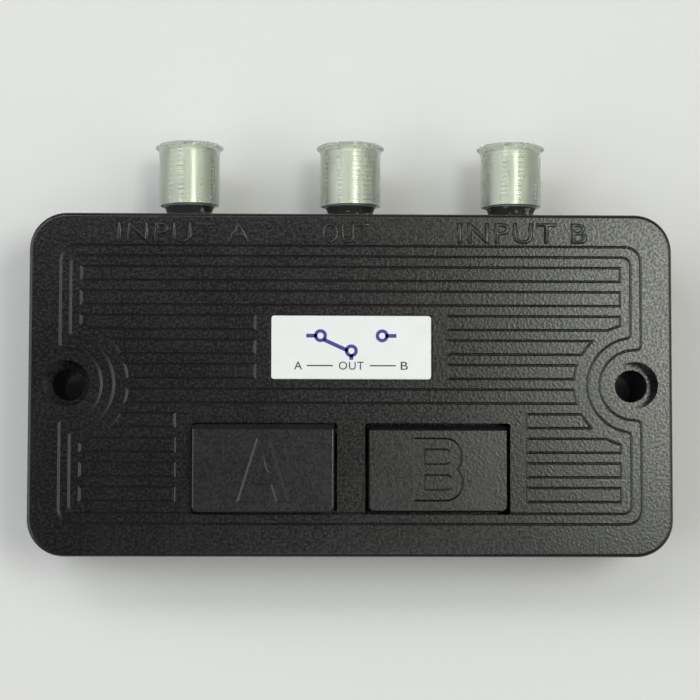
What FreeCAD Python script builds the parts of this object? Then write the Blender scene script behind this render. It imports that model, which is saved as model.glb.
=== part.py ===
import FreeCAD, Part
import math
import os

# Coaxial antenna switch with two push keys and three F ports, in millimetres.
# The case lies on its back: +Z points out of the face with the keys, +Y towards the ports.
# The origin is on the back, midway between the two mounting holes.

V = FreeCAD.Vector
X_AXIS = V(1, 0, 0)
Y_AXIS = V(0, 1, 0)
Z_AXIS = V(0, 0, 1)

OVER = 1.0      # cutters run this far past the faces they cut
LAP = 0.2       # joined shapes run this far into each other
ROUND_JOIN = 0  # corners of an outline that is offset outwards
SHARP_JOIN = 2

# ---- case ----
CASE_X = 104.3
CASE_Y = 55.6
CASE_Z = 22.0
CASE_CORNER = 6.0
WALL = 2.2
SEAM_Z = 11.0
FACE_ROUND = 0.6
BACK_ROUND = 0.8
FACE_INNER_Z = CASE_Z - WALL
TONGUE_HEIGHT = 1.2
TONGUE_THICK = 1.1
TONGUE_GAP = 0.08

# ---- mounting holes, through both halves ----
HOLE_SPACING = 92.0
HOLE_R = 2.65
HOLE_SINK_R = 3.8
HOLE_SINK_DEPTH = 3.9
TUBE_R = 5.0

# ---- case screws, one in each corner ----
CORNER_X = 46.0
CORNER_Y = 21.6
CORNER_BOSS_R = 4.0
CORNER_WELL_R = 3.0
CORNER_WELL_DEPTH = 7.5
CASE_SCREW_R = 1.45
CASE_SCREW_TIP_Z = 16.5
CASE_SCREW_HEAD_R = 2.6
CASE_SCREW_HEAD = 1.6
SCREW_PLAY = 0.025
SCREW_CLEAR = 0.5
SHANK_PLAY = 0.1
CROWN_ROUND = 0.35      # shares of a screw head's height and radius
CROSS_DEPTH = 0.6
CROSS_REACH = 0.6
CROSS_HALF = 0.4

# ---- lines engraved in the face ----
LINE_WIDTH = 0.44
LINE_FOOT = 0.04
LINE_DEPTH = 0.12
LINE_RISE = 0.05     # how far the cutters reach above the face
BAND_OUTER_X = 47.05
BAND_OUTER_Y = 22.5
BAND_OUTER_ROUND = 2.5
BAND_OUTER_BITE_R = 5.7
BAND_INNER_X = 45.4
BAND_INNER_Y = 20.8
BAND_INNER_ROUND = 1.4
BAND_INNER_BITE_R = 7.7
BITE_ROUND = 0.9
BAR_COUNT = 10
BAR_PITCH = 3.97
BAR_WIDTH = 2.24
BAR_CENTRE_Y = 0.09
BAR_END_X = 43.7
BAR_BITE_R = 9.9
LABEL_FIELD_X = 15.6
LABEL_FIELD_MARGIN_Y = 1.2
KEY_FIELD_X = 28.5
KEY_FIELD_TOP_Y = -4.0

# ---- label plate ----
LABEL_X = 25.9
LABEL_Y = 10.3
LABEL_CENTRE_Y = 6.0
LABEL_THICK = 0.5
LABEL_RECESS = 0.6
LABEL_GAP = 0.22
LABEL_ROUND = 0.7

# ---- push keys ----
KEY_CENTRE_X = 14.0
KEY_CENTRE_Y = -13.5
OPENING_X = 23.5
OPENING_Y = 14.7
OPENING_SET_Y = -0.1
OPENING_ROUND = 0.4
KEY_X = 22.8
KEY_Y = 14.05
KEY_SET_X = 0.14      # the caps sit outwards and forwards of their posts
KEY_SET_Y = -0.08
KEY_ROUND = 1.0
KEY_EDGE_ROUND = 0.35
KEY_SLOPE_Y = 0.85    # sloping strip along the edge towards the ports
KEY_SLOPE_Z = 0.45
KEY_TRAVEL = 4.0
KEY_OUT_Z = CASE_Z + 2.6
KEY_STOP_GAP = 0.2
KEY_FLANGE = 1.0
KEY_FLANGE_THICK = 1.4
KEY_SHELL = 1.4
KEY_TOP = 1.8
POST_X = 5.2
POST_Y = 4.2
POST_FOOT_X = 3.0
POST_TAPER = 2.5
CAVITY_ROUND = 0.5
RIB_THICK = 1.0
RIB_END = 0.5
RIB_DEPTH = 3.2
MARK_HEIGHT = 9.75
MARK_STROKE = 1.45
MARK_RELIEF = 0.24
MARK_DRAFT = 0.32      # the letters' walls lean this far out at the foot
MARK_ROOT = 0.05
MARK_A_OFFSET = V(-0.15, -0.38, 0)
MARK_A_HALF = 3.85
MARK_A_TIP = 0.8
MARK_A_BAR = (2.8, 4.4)
MARK_B_OFFSET = V(0.2, -0.2, 0)
MARK_B_UPPER_X = 7.4
MARK_B_UPPER_ROUND = 2.5
MARK_B_LOWER_X = 7.6
MARK_B_LOWER_ROUND = 2.7
MARK_B_INNER_ROUND = 1.0
MARK_B_WAIST = 0.5

# ---- rocker between the keys ----
PIVOT_Z = 6.6
ARM_LENGTH = KEY_CENTRE_X
PAD_R = 1.2
PAD_GAP = 0.05
ARM_HALF_THICK = 0.9
ARM_Y0 = -16.5
ARM_Y1 = -10.5
HUB_R = 2.8
HUB_Y0 = -18.2
HUB_Y1 = -7.8
PIN_R = 1.0
PIN_PLAY = 0.05
PIN_Y0 = -20.3
PIN_Y1 = -5.7
PIN_FIT = 0.01
PIN_CHAMFER = 0.2
CLIP_THICK = 0.4
CLIP_R = 1.55
CLIP_GROOVE_R = 0.7
CLIP_GROOVE_PLAY = 0.03
CLIP_MOUTH = 0.6
FINGER_HALF_X = 1.2
FINGER_Y0 = -9.9
FINGER_Y1 = -8.1
PEG_HEIGHT = 8.0
PEG_R = 1.2
PEG_END_Y = -1.2
ROCK_HALF_ANGLE = math.degrees(math.asin(KEY_TRAVEL / 2 / ARM_LENGTH))
PEG_SHIFT = PEG_HEIGHT * KEY_TRAVEL / 2 / ARM_LENGTH

# ---- chassis plate with the rocker's ears ----
CHASSIS_Z = 4.2
CHASSIS_THICK = 0.8
CHASSIS_TOP = CHASSIS_Z + CHASSIS_THICK
CHASSIS_X = 34.6
CHASSIS_Y0 = -22.0
CHASSIS_Y1 = 23.6
PLATE_ROUND = 2.0
LUG_CENTRE_X = 36.2
LUG_X = 8.0
LUG_Y = 7.0
LUG_ROUND = 1.5
WINDOW_X = 17.5
EAR_ROUND = 2.0
EAR_HALF_X = 4.0
EAR_TOP_Z = 9.2
EAR_REAR_Y = -19.2
EAR_FRONT_Y = -7.6
CLIP_PLACES = [EAR_REAR_Y - 0.5, EAR_FRONT_Y + CHASSIS_THICK + 0.1]
CHASSIS_FIX = [(-31.0, -17.5), (31.0, -17.5), (-37.3, 14.0), (37.3, 14.0)]
CHASSIS_BOSS_R = 3.0
SMALL_SCREW_R = 1.2
SMALL_HEAD_R = 2.2
SMALL_HEAD = 1.3
CHASSIS_SCREW_TIP_Z = 1.4
CHASSIS_HOLE_Z = 1.0

# ---- shield can ----
CAN_X = 34.0
CAN_Y0 = -3.5
CAN_Y1 = 23.7
CAN_TOP_Z = 17.5
SHEET = 0.5
CAN_ROUND = 0.9
TAB_X = 3.0
TAB_PLAY = 0.1
TAB_PLACES = [(-28.0, CAN_Y0), (28.0, CAN_Y0), (-13.5, CAN_Y1), (13.5, CAN_Y1)]
PEG_SLOT_X = 3.0
PEG_SLOT_Z0 = 12.9
PEG_SLOT_Z1 = 16.2

# ---- F ports, 3/8-32 thread ----
PORT_PITCH_X = 27.0
PORT_Z = SEAM_Z
THREAD_R = 25.4 * 3 / 8 / 2
THREAD_PITCH = 25.4 / 32
THREAD_DEPTH = 0.6134 * THREAD_PITCH
THREAD_Y0 = 30.3
THREAD_Y1 = 40.15
THREAD_CHAMFER = 0.35
NECK_R = 4.45
RELIEF_R = 3.75       # the neck is waisted in front of the thread
RELIEF_Y0 = 28.1
RELIEF_Y1 = 29.2
RELIEF_END_R = 4.2
PORT_HOLE_R = 4.6
FLANGE_R = 6.1
FLANGE_Y0 = CAN_Y1
FLANGE_Y1 = 25.2
REAR_R = 4.4
REAR_Y0 = 20.2
REAR_PLAY = 0.05
PORT_BORE_R = 3.3
PORT_LIP_R = 2.6
PORT_LIP = 0.85
GROOVE_OVER = 0.05
INSULATOR_R = 3.25
INSULATOR_Y0 = 20.4
INSULATOR_PLAY = 0.05
INSULATOR_END_PLAY = 0.3
FUNNEL = 0.6
SOCKET_R = 0.95
SOCKET_BORE_R = 0.5
SOCKET_WALL = 4.0
SOCKET_Y0 = 21.5
SOCKET_Y1 = 38.3
SOCKET_SLIT_HALF = 0.12
SOCKET_SLIT_LENGTH = 5.0
LEAD_HOLE_R = 0.6
TAIL_R = 0.5
TAIL_Y = 17.0
TAIL_BEND_R = 1.2
NUT_FLATS = 11.0
NUT_THICK = 2.0
NUT_BEVEL = 0.1
NUT_BEVEL_SLOPE = 2.0
NUT_BORE_R = 4.45
WASHER_R = 5.6
WASHER_BORE_R = 4.55
WASHER_THICK = 0.4
WASHER_TEETH = 12
WASHER_GAP_HALF = 0.35
WASHER_GAP_DEPTH = 0.8

# ---- push-on dust caps of the ports ----
CAP_PLAY = 0.05
CAP_WALL = 0.25
CAP_Y0 = 30.4
CAP_Y1 = 40.7
CAP_END = 0.5
CAP_RIM_R = 5.65
CAP_FLARE_Y0 = 38.75
CAP_FLARE_MID = (5.2, 39.55)     # radius and place where the flare bends most
CAP_RIM_Y0 = 39.97
CAP_RIM_Y1 = 40.31
CAP_STEP_Y = 40.41
CAP_END_ROUND = 0.15

# ---- circuit board ----
BOARD_X = 33.0
BOARD_Y0 = -2.6
BOARD_Y1 = 19.4
BOARD_Z = 8.0
BOARD_THICK = 1.6
BOARD_TOP = BOARD_Z + BOARD_THICK
BOARD_FIX = [(-30.4, 0.4), (30.4, 0.4), (-30.4, 11.6), (30.4, 11.6)]
SPACER_R = 2.2
SPACER_BORE_R = 1.3
BOARD_SCREW_TIP_Z = 3.4
LEAD_END_Z = 7.3
LEAD_PLAY = 0.1
FOIL_PLAY = 0.02
TRACK_THICK = 0.1
TRACK_HALF = 0.8
TRACK_Y = 10.5
TRACK_TAIL = 1.2
PORT_PAD_R = 1.3
SOLDER_R = 1.1
SOLDER_TIP_R = 0.68
SOLDER_TIP = 0.15
LOAD_PLACES = [(-16.0, 12.6), (16.0, 12.6)]
LOAD_LENGTH = 5.0
LOAD_R = 1.1
LOAD_WAIST_R = 0.9
LOAD_BEAD = 1.4
LOAD_ROUND = 0.35
LOAD_STAND = 0.1
LOAD_LEAD_R = 0.25
LOAD_LEAD_SPAN = 4.0

# ---- slide switch on the board ----
STRIP_THICK = 0.2
STRIP_Y0 = 1.0
STRIP_Y1 = 7.0
STRIP_SPANS = {"a": (-6.4, -2.6), "common": (-1.7, 1.7), "b": (2.6, 6.4)}
STRIP_PIN_X = {"a": -5.6, "common": 0.0, "b": 5.6}
STRIP_PIN_Y = 4.0
STRIP_PIN_HALF = 0.4
SQUARE_PLAY = 0.05
SLIDER_X = 11.0
SLIDER_Y1 = 8.0
SLIDER_Z0 = 9.95
SLIDER_Z1 = 12.8
FORK_X = 2.9
FORK_Y0 = -2.8
FORK_Y1 = -1.1
FORK_TOP_Z = 16.2
FORK_SLOT_HALF = 1.25
FORK_SLOT_Z = 12.6
BRIDGE_ROWS = (2.2, 5.8)
BRIDGE_HALF_Y = 0.8
POCKET_X = 5.0
POCKET_HALF_Y = 1.1
POCKET_TOP_Z = 11.2
BRIDGE_BUMP_X = 2.3
BRIDGE_BUMP_HALF = 0.5
BRIDGE_BUMP_RISE = 0.1
BRIDGE_CREST_X = 0.6
BRIDGE_END_X = 4.2
BRIDGE_END_RISE = 0.8
BRIDGE_LEAF = 0.2
BRIDGE_GAP = 0.05
NOTCH_DEPTH = 0.45
NOTCH_HALF = 0.55
HOUSING_X = 13.0
HOUSING_Y0 = -0.9
HOUSING_Y1 = 9.5
HOUSING_TOP_Z = 13.5
HOUSING_WINDOW_X = 4.5
HOUSING_LEG_X = 9.5
HOUSING_LEG_HALF = 0.75
DETENT_LEAF = 0.2
DETENT_X = 9.0
DETENT_FOOT_X = 1.6
DETENT_BUMP_X = 0.3
DETENT_GAP = 0.06
DETENT_Z0 = BOARD_TOP + 1.0
DETENT_HEIGHT = 1.8

# ---- key guide under the face ----
GUIDE_X = 32.6
GUIDE_Y0 = -20.5
GUIDE_Y1 = -6.5
GUIDE_Z0 = 11.9
GUIDE_Z1 = 13.6
GUIDE_HOLE_PLAY = 0.05
SLEEVE_Z0 = 10.4
SLEEVE_WALL = 1.1
SLEEVE_ROUND = 0.8
GUIDE_ROUND = 1.5
GUIDE_NOTCH_X = 4.0
GUIDE_NOTCH_Y = -12.4
GUIDE_FIX_X = 29.8
GUIDE_BOSS_R = 2.5
GUIDE_SCREW_TIP_Z = FACE_INNER_Z - 1.6


# ---- small makers ----
def box(x0, x1, y0, y1, z0, z1):
    """Block between two corners."""
    return Part.makeBox(x1 - x0, y1 - y0, z1 - z0, V(x0, y0, z0))


def post(x, y, radius, z0, z1):
    """Upright cylinder."""
    return Part.makeCylinder(radius, z1 - z0, V(x, y, z0), Z_AXIS)


def rod(x, z, radius, y0, y1):
    """Cylinder along Y."""
    return Part.makeCylinder(radius, y1 - y0, V(x, y0, z), Y_AXIS)


def join(shapes):
    """One solid out of touching or overlapping shapes."""
    first = shapes[0]
    return first.fuse(shapes[1:]).removeSplitter() if len(shapes) > 1 else first


def rounded_block(size_x, size_y, radius, z0, z1, centre=(0.0, 0.0)):
    """Block with its four upright edges rounded."""
    cx, cy = centre
    block = box(cx - size_x / 2, cx + size_x / 2, cy - size_y / 2, cy + size_y / 2, z0, z1)
    upright = [e for e in block.Edges if abs(e.Vertexes[0].Z - e.Vertexes[1].Z) > (z1 - z0) / 2]
    return block.makeFillet(radius, upright)


def edges_at(shape, z):
    """Edges that lie in the level plane z."""
    return [e for e in shape.Edges if all(abs(v.Z - z) < 1e-6 for v in e.Vertexes)]


def pan_screw(x, y, seat_z, tip_z, radius, head_r, head):
    """Pan head screw along Z; the shank runs from the seat to the tip, the head the other way."""
    way = 1 if tip_z > seat_z else -1
    low, high = sorted((seat_z, tip_z))
    shank = post(x, y, radius, low, high)
    crown_z = seat_z - way * head
    low, high = sorted((seat_z, crown_z))
    crown = post(x, y, head_r, low, high)
    crown = crown.makeFillet(head * CROWN_ROUND, edges_at(crown, crown_z))
    deep = crown_z + way * head * CROSS_DEPTH
    low, high = sorted((crown_z - way * OVER, deep))
    reach = head_r * CROSS_REACH
    cross = join([
        box(x - reach, x + reach, y - CROSS_HALF, y + CROSS_HALF, low, high),
        box(x - CROSS_HALF, x + CROSS_HALF, y - reach, y + reach, low, high),
    ])
    return join([shank, crown]).cut(cross)


def flat_face(solid, z):
    """The level face of a prism at height z."""
    for face in solid.Faces:
        if abs(face.CenterOfMass.z - z) < 1e-6 and abs(abs(face.normalAt(0, 0).z) - 1) < 1e-6:
            return face
    raise ValueError("no level face")


def drafted(face, z0, grow0, z1, grow1, corners=ROUND_JOIN):
    """Solid over a level face at z = 0 whose outline is offset by grow0 at z0 and by grow1 at z1."""
    ends = []
    for z, grow in ((z0, grow0), (z1, grow1)):
        end = face.makeOffset2D(grow, corners)
        end.translate(V(0, 0, z))
        ends.append(end.Faces[0])
    solid = Part.makeLoft([end.OuterWire for end in ends], True, True)
    holes = [[w for w in end.Wires if not w.isSame(end.OuterWire)] for end in ends]
    for low in holes[0]:
        middle = low.BoundBox.Center
        high = min(holes[1], key=lambda w: abs(w.BoundBox.Center.y - middle.y))
        solid = solid.cut(Part.makeLoft([low, high], True, True))
    return solid


def engraved_line(prism):
    """Closed V groove along the outline of a prism that stands on z = 0, ready to cut from the face."""
    face = flat_face(prism, 0.0)
    foot, wide = LINE_FOOT / 2, LINE_WIDTH / 2
    wide += (wide - foot) * LINE_RISE / LINE_DEPTH
    z0, z1 = CASE_Z - LINE_DEPTH, CASE_Z + LINE_RISE
    return drafted(face, z0, foot, z1, wide).cut(drafted(face, z0, -foot, z1, -wide))


# ---- the face's pattern ----
def band_outline(half_x, half_y, corner, bite_r):
    """Rounded rectangle, 1 thick, that gives way around the two mounting holes."""
    plate = rounded_block(2 * half_x, 2 * half_y, corner, 0, 1)
    for side in (-1, 1):
        plate = plate.cut(post(side * HOLE_SPACING / 2, 0, bite_r, -OVER, 1 + OVER))
    sharp = []
    for edge in plate.Edges:
        ends = edge.Vertexes
        upright = len(ends) == 2 and abs(ends[0].Z - ends[1].Z) > 0.5
        if upright and abs(abs(ends[0].X) - half_x) < 1e-4 and abs(ends[0].Y) < bite_r + 0.5:
            sharp.append(edge)
    return plate.makeFillet(BITE_ROUND, sharp)


def bars():
    """The outlined bars, 1 thick, broken by the holes, the label and the keys."""
    solids = []
    for row in range(BAR_COUNT):
        y = BAR_CENTRE_Y + ((BAR_COUNT - 1) / 2 - row) * BAR_PITCH
        y0, y1 = y - BAR_WIDTH / 2, y + BAR_WIDTH / 2
        bar = box(-BAR_END_X, BAR_END_X, y0, y1, 0, 1)
        for side in (-1, 1):
            bar = bar.cut(post(side * HOLE_SPACING / 2, 0, BAR_BITE_R, -OVER, 1 + OVER))
        if abs(y - LABEL_CENTRE_Y) < LABEL_Y / 2 + LABEL_FIELD_MARGIN_Y:
            bar = bar.cut(box(-LABEL_FIELD_X, LABEL_FIELD_X, y0 - OVER, y1 + OVER, -OVER, 1 + OVER))
        if y < KEY_FIELD_TOP_Y:
            bar = bar.cut(box(-KEY_FIELD_X, KEY_FIELD_X, y0 - OVER, y1 + OVER, -OVER, 1 + OVER))
        solids.extend(bar.Solids)
    return solids


def face_lines():
    """All grooves of the face: two band contours and the bars."""
    outlines = [
        band_outline(BAND_OUTER_X, BAND_OUTER_Y, BAND_OUTER_ROUND, BAND_OUTER_BITE_R),
        band_outline(BAND_INNER_X, BAND_INNER_Y, BAND_INNER_ROUND, BAND_INNER_BITE_R),
    ]
    return [engraved_line(outline) for outline in outlines + bars()]


# ---- case ----
def case_block(z0, z1, inset=0.0):
    """Rounded block of the case's plan, drawn in by an inset."""
    return rounded_block(CASE_X - 2 * inset, CASE_Y - 2 * inset, CASE_CORNER - inset, z0, z1)


def corner_points():
    """Centres of the four case screws."""
    return [(sx * CORNER_X, sy * CORNER_Y) for sx in (-1, 1) for sy in (-1, 1)]


def port_points():
    """X of the three ports with their names."""
    return {"a": -PORT_PITCH_X, "out": 0.0, "b": PORT_PITCH_X}


def port_holes():
    """Round holes in the long wall, half in each shell."""
    return [rod(x, PORT_Z, PORT_HOLE_R, CASE_Y / 2 - WALL - OVER, CASE_Y / 2 + OVER)
            for x in port_points().values()]


def top_cover():
    """Upper shell with the face, its openings and the bosses under it."""
    outer = case_block(SEAM_Z, CASE_Z)
    outer = outer.makeFillet(FACE_ROUND, edges_at(outer, CASE_Z))
    shell = outer.cut(case_block(SEAM_Z - OVER, FACE_INNER_Z, WALL))
    added = []
    for side in (-1, 1):
        added.append(post(side * HOLE_SPACING / 2, 0, TUBE_R, SEAM_Z, FACE_INNER_Z + LAP))
        added.append(post(side * GUIDE_FIX_X, KEY_CENTRE_Y, GUIDE_BOSS_R, GUIDE_Z1, FACE_INNER_Z + LAP))
    for x, y in corner_points():
        added.append(post(x, y, CORNER_BOSS_R, SEAM_Z, FACE_INNER_Z + LAP))
    shell = join([shell] + added).common(outer)
    cuts = port_holes()
    rebate = case_block(SEAM_Z - OVER, SEAM_Z + TONGUE_HEIGHT + TONGUE_GAP, WALL - TONGUE_THICK - TONGUE_GAP)
    cuts.append(rebate.cut(case_block(SEAM_Z - 2 * OVER, SEAM_Z + TONGUE_HEIGHT + OVER, WALL)))
    for side in (-1, 1):
        x = side * HOLE_SPACING / 2
        cuts.append(post(x, 0, HOLE_R, SEAM_Z - OVER, CASE_Z + OVER))
        cuts.append(post(x, 0, HOLE_SINK_R, CASE_Z - HOLE_SINK_DEPTH, CASE_Z + OVER))
        cuts.append(post(side * GUIDE_FIX_X, KEY_CENTRE_Y, SMALL_SCREW_R + SCREW_PLAY,
                         GUIDE_Z1 - OVER, GUIDE_SCREW_TIP_Z + SCREW_CLEAR))
        cuts.append(rounded_block(OPENING_X, OPENING_Y, OPENING_ROUND, FACE_INNER_Z - OVER, CASE_Z + OVER,
                                  (side * KEY_CENTRE_X, KEY_CENTRE_Y + OPENING_SET_Y)))
    for x, y in corner_points():
        cuts.append(post(x, y, CASE_SCREW_R + SCREW_PLAY, SEAM_Z - OVER, CASE_SCREW_TIP_Z + SCREW_CLEAR))
    cuts.append(rounded_block(LABEL_X + 2 * LABEL_GAP, LABEL_Y + 2 * LABEL_GAP, LABEL_ROUND,
                              CASE_Z - LABEL_RECESS, CASE_Z + OVER, (0.0, LABEL_CENTRE_Y)))
    return shell.cut(cuts + face_lines())


def bottom_cover():
    """Lower shell: tongue, mounting tubes, screw wells and the chassis bosses."""
    outer = case_block(0, SEAM_Z)
    outer = outer.makeFillet(BACK_ROUND, edges_at(outer, 0.0))
    shell = outer.cut(case_block(WALL, SEAM_Z + OVER, WALL))
    tongue_out = case_block(SEAM_Z - LAP, SEAM_Z + TONGUE_HEIGHT, WALL - TONGUE_THICK)
    tongue = tongue_out.cut(case_block(SEAM_Z - OVER, SEAM_Z + TONGUE_HEIGHT + OVER, WALL))
    added = [tongue]
    for side in (-1, 1):
        added.append(post(side * HOLE_SPACING / 2, 0, TUBE_R, WALL - LAP, SEAM_Z))
    for x, y in corner_points():
        added.append(post(x, y, CORNER_BOSS_R, WALL - LAP, SEAM_Z))
    for x, y in CHASSIS_FIX:
        added.append(post(x, y, CHASSIS_BOSS_R, WALL - LAP, CHASSIS_Z))
    shell = join([shell] + added).common(outer.fuse(tongue_out))
    cuts = port_holes()
    for side in (-1, 1):
        cuts.append(post(side * HOLE_SPACING / 2, 0, HOLE_R, -OVER, SEAM_Z + OVER))
    for x, y in corner_points():
        cuts.append(post(x, y, CORNER_WELL_R, -OVER, CORNER_WELL_DEPTH))
        cuts.append(post(x, y, CASE_SCREW_R + SHANK_PLAY, 0, SEAM_Z + OVER))
    for x, y in CHASSIS_FIX:
        cuts.append(post(x, y, SMALL_SCREW_R + SCREW_PLAY, CHASSIS_HOLE_Z, CHASSIS_Z + OVER))
    return shell.cut(cuts)


def cover_screws():
    """Four self-tapping screws driven from the back."""
    return [pan_screw(x, y, CORNER_WELL_DEPTH, CASE_SCREW_TIP_Z, CASE_SCREW_R, CASE_SCREW_HEAD_R,
                      CASE_SCREW_HEAD) for x, y in corner_points()]


def label_plate():
    """Thin plate in the recess of the face."""
    base = CASE_Z - LABEL_RECESS
    return rounded_block(LABEL_X, LABEL_Y, LABEL_ROUND - LABEL_GAP, base, base + LABEL_THICK,
                         (0.0, LABEL_CENTRE_Y))


# ---- chassis and can ----
def chassis_plate():
    """Steel plate with the window under the rocker, its two ears and the side lugs."""
    plate = rounded_block(2 * CHASSIS_X, CHASSIS_Y1 - CHASSIS_Y0, PLATE_ROUND, CHASSIS_Z, CHASSIS_TOP,
                          (0.0, (CHASSIS_Y0 + CHASSIS_Y1) / 2))
    lugs = [rounded_block(LUG_X, LUG_Y, LUG_ROUND, CHASSIS_Z, CHASSIS_TOP,
                          (math.copysign(LUG_CENTRE_X, x), y))
            for x, y in CHASSIS_FIX if abs(x) > CHASSIS_X]
    window = box(-WINDOW_X, WINDOW_X, EAR_REAR_Y + CHASSIS_THICK, EAR_FRONT_Y,
                 CHASSIS_Z - OVER, CHASSIS_TOP + OVER)
    plate = join([plate] + lugs).cut(window)
    ears = []
    for y in (EAR_REAR_Y, EAR_FRONT_Y):
        ear = box(-EAR_HALF_X, EAR_HALF_X, y, y + CHASSIS_THICK, CHASSIS_Z, EAR_TOP_Z)
        tips = [e for e in edges_at(ear, EAR_TOP_Z) if abs(e.Vertexes[0].X - e.Vertexes[1].X) < EAR_HALF_X]
        ears.append(ear.makeFillet(EAR_ROUND, tips))
    plate = join([plate] + ears)
    cuts = [rod(0, PIVOT_Z, PIN_R + PIN_FIT, EAR_REAR_Y - OVER, EAR_FRONT_Y + CHASSIS_THICK + OVER)]
    for x, y in CHASSIS_FIX:
        cuts.append(post(x, y, SMALL_SCREW_R + SHANK_PLAY, CHASSIS_Z - OVER, CHASSIS_TOP + OVER))
    for x, y in BOARD_FIX:
        cuts.append(post(x, y, SMALL_SCREW_R + SCREW_PLAY, CHASSIS_Z - OVER, CHASSIS_TOP + OVER))
    for x, y in TAB_PLACES:
        middle = y + SHEET / 2 if y < 0 else y - SHEET / 2
        half_x = TAB_X / 2 + TAB_PLAY
        half_y = (SHEET + TAB_PLAY) / 2
        cuts.append(box(x - half_x, x + half_x, middle - half_y, middle + half_y,
                        CHASSIS_Z - OVER, CHASSIS_TOP + OVER))
    return plate.cut(cuts)


def chassis_screws():
    """Four screws that hold the chassis on its bosses."""
    return [pan_screw(x, y, CHASSIS_TOP, CHASSIS_SCREW_TIP_Z, SMALL_SCREW_R, SMALL_HEAD_R, SMALL_HEAD)
            for x, y in CHASSIS_FIX]


def folded_box(inset, z0, radius):
    """The can's block, drawn in by an inset, rounded everywhere but along its open underside."""
    block = box(-CAN_X + inset, CAN_X - inset, CAN_Y0 + inset, CAN_Y1 - inset, z0, CAN_TOP_Z - inset)
    under = edges_at(block, z0)
    rims = [e for e in block.Edges if not any(e.isSame(u) for u in under)]
    return block.makeFillet(radius, rims)


def shield_can():
    """Open-bottomed sheet box over the board; its front wall carries the ports."""
    outside = folded_box(0.0, CHASSIS_TOP, CAN_ROUND)
    can = outside.cut(folded_box(SHEET, CHASSIS_TOP - OVER, CAN_ROUND - SHEET))
    tabs = []
    for x, y in TAB_PLACES:
        y0 = y if y < 0 else y - SHEET
        tabs.append(box(x - TAB_X / 2, x + TAB_X / 2, y0, y0 + SHEET,
                        CHASSIS_Z - CHASSIS_THICK, CHASSIS_TOP + LAP))
    can = join([can] + tabs)
    cuts = [rod(x, PORT_Z, REAR_R + REAR_PLAY, CAN_Y1 - OVER, CAN_Y1 + OVER) for x in port_points().values()]
    cuts.append(box(-PEG_SLOT_X, PEG_SLOT_X, CAN_Y0 - OVER, CAN_Y0 + OVER, PEG_SLOT_Z0, PEG_SLOT_Z1))
    return can.cut(cuts)


# ---- ports ----
def thread_groove(y0, y1):
    """Solid swept along the thread's helix, for cutting into a barrel along Z from y0 to y1.

    Its mouth is 7/8 of the pitch wide and its root 1/8."""
    half_mouth = THREAD_PITCH * 7 / 16
    half_root = THREAD_PITCH / 16
    slope = THREAD_DEPTH / (half_mouth - half_root)
    over = GROOVE_OVER
    helix = Part.makeHelix(THREAD_PITCH, y1 - y0 + 2 * THREAD_PITCH, THREAD_R)
    profile = Part.makePolygon([
        V(THREAD_R + over, 0, -half_mouth - over / slope),
        V(THREAD_R + over, 0, half_mouth + over / slope),
        V(THREAD_R - THREAD_DEPTH, 0, half_root),
        V(THREAD_R - THREAD_DEPTH, 0, -half_root),
        V(THREAD_R + over, 0, -half_mouth - over / slope),
    ])
    groove = Part.Wire(helix).makePipeShell([profile], True, True)
    groove.translate(V(0, 0, y0 - THREAD_PITCH))
    return groove


def threaded_barrel():
    """Threaded end of a port along Z, from THREAD_Y0 to THREAD_Y1, with a chamfered tip."""
    plain = disc(THREAD_R, THREAD_Y0, THREAD_Y1)
    tipped = plain.makeChamfer(THREAD_CHAMFER, edges_at(plain, THREAD_Y1))
    return plain.cut(thread_groove(THREAD_Y0, THREAD_Y1)).common(tipped).Solids[0]


def along_port(shape, x):
    """Turn a shape made along Z to a port's axis, with its seam line underneath."""
    shape.rotate(V(0, 0, 0), X_AXIS, -90)
    shape.translate(V(x, 0, PORT_Z))
    return shape


def disc(radius, z0, z1):
    """Cylinder on the Z axis."""
    return Part.makeCylinder(radius, z1 - z0, V(0, 0, z0))


def port_shells():
    """Plated barrels: thread, waisted neck, flange against the can and a rear neck for the nut."""
    body = join([
        threaded_barrel(),
        disc(NECK_R, FLANGE_Y1 - LAP, RELIEF_Y0),
        Part.makeCone(NECK_R, RELIEF_R, RELIEF_Y1 - RELIEF_Y0, V(0, 0, RELIEF_Y0)),
        Part.makeCone(RELIEF_R, RELIEF_END_R, THREAD_Y0 - RELIEF_Y1, V(0, 0, RELIEF_Y1)),
        disc(FLANGE_R, FLANGE_Y0, FLANGE_Y1),
        disc(REAR_R, REAR_Y0, FLANGE_Y0 + LAP),
    ])
    bore = disc(PORT_BORE_R, REAR_Y0 - OVER, THREAD_Y1 - PORT_LIP)
    mouth = disc(PORT_LIP_R, THREAD_Y1 - PORT_LIP - LAP, THREAD_Y1 + OVER)
    body = body.cut([bore, mouth])
    return {name: along_port(body.copy(), x) for name, x in port_points().items()}


def port_insulator(x):
    """Dielectric plug in the barrel."""
    front = THREAD_Y1 - PORT_LIP - INSULATOR_PLAY
    plug = disc(INSULATOR_R, INSULATOR_Y0, front)
    cuts = [
        disc(SOCKET_R + INSULATOR_PLAY, SOCKET_Y0 - INSULATOR_END_PLAY, SOCKET_Y1 + INSULATOR_PLAY),
        disc(LEAD_HOLE_R, INSULATOR_Y0, front + OVER),
        Part.makeCone(LEAD_HOLE_R, LEAD_HOLE_R + FUNNEL, FUNNEL, V(0, 0, front - FUNNEL)),
    ]
    return along_port(plug.cut(cuts), x)


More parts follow.
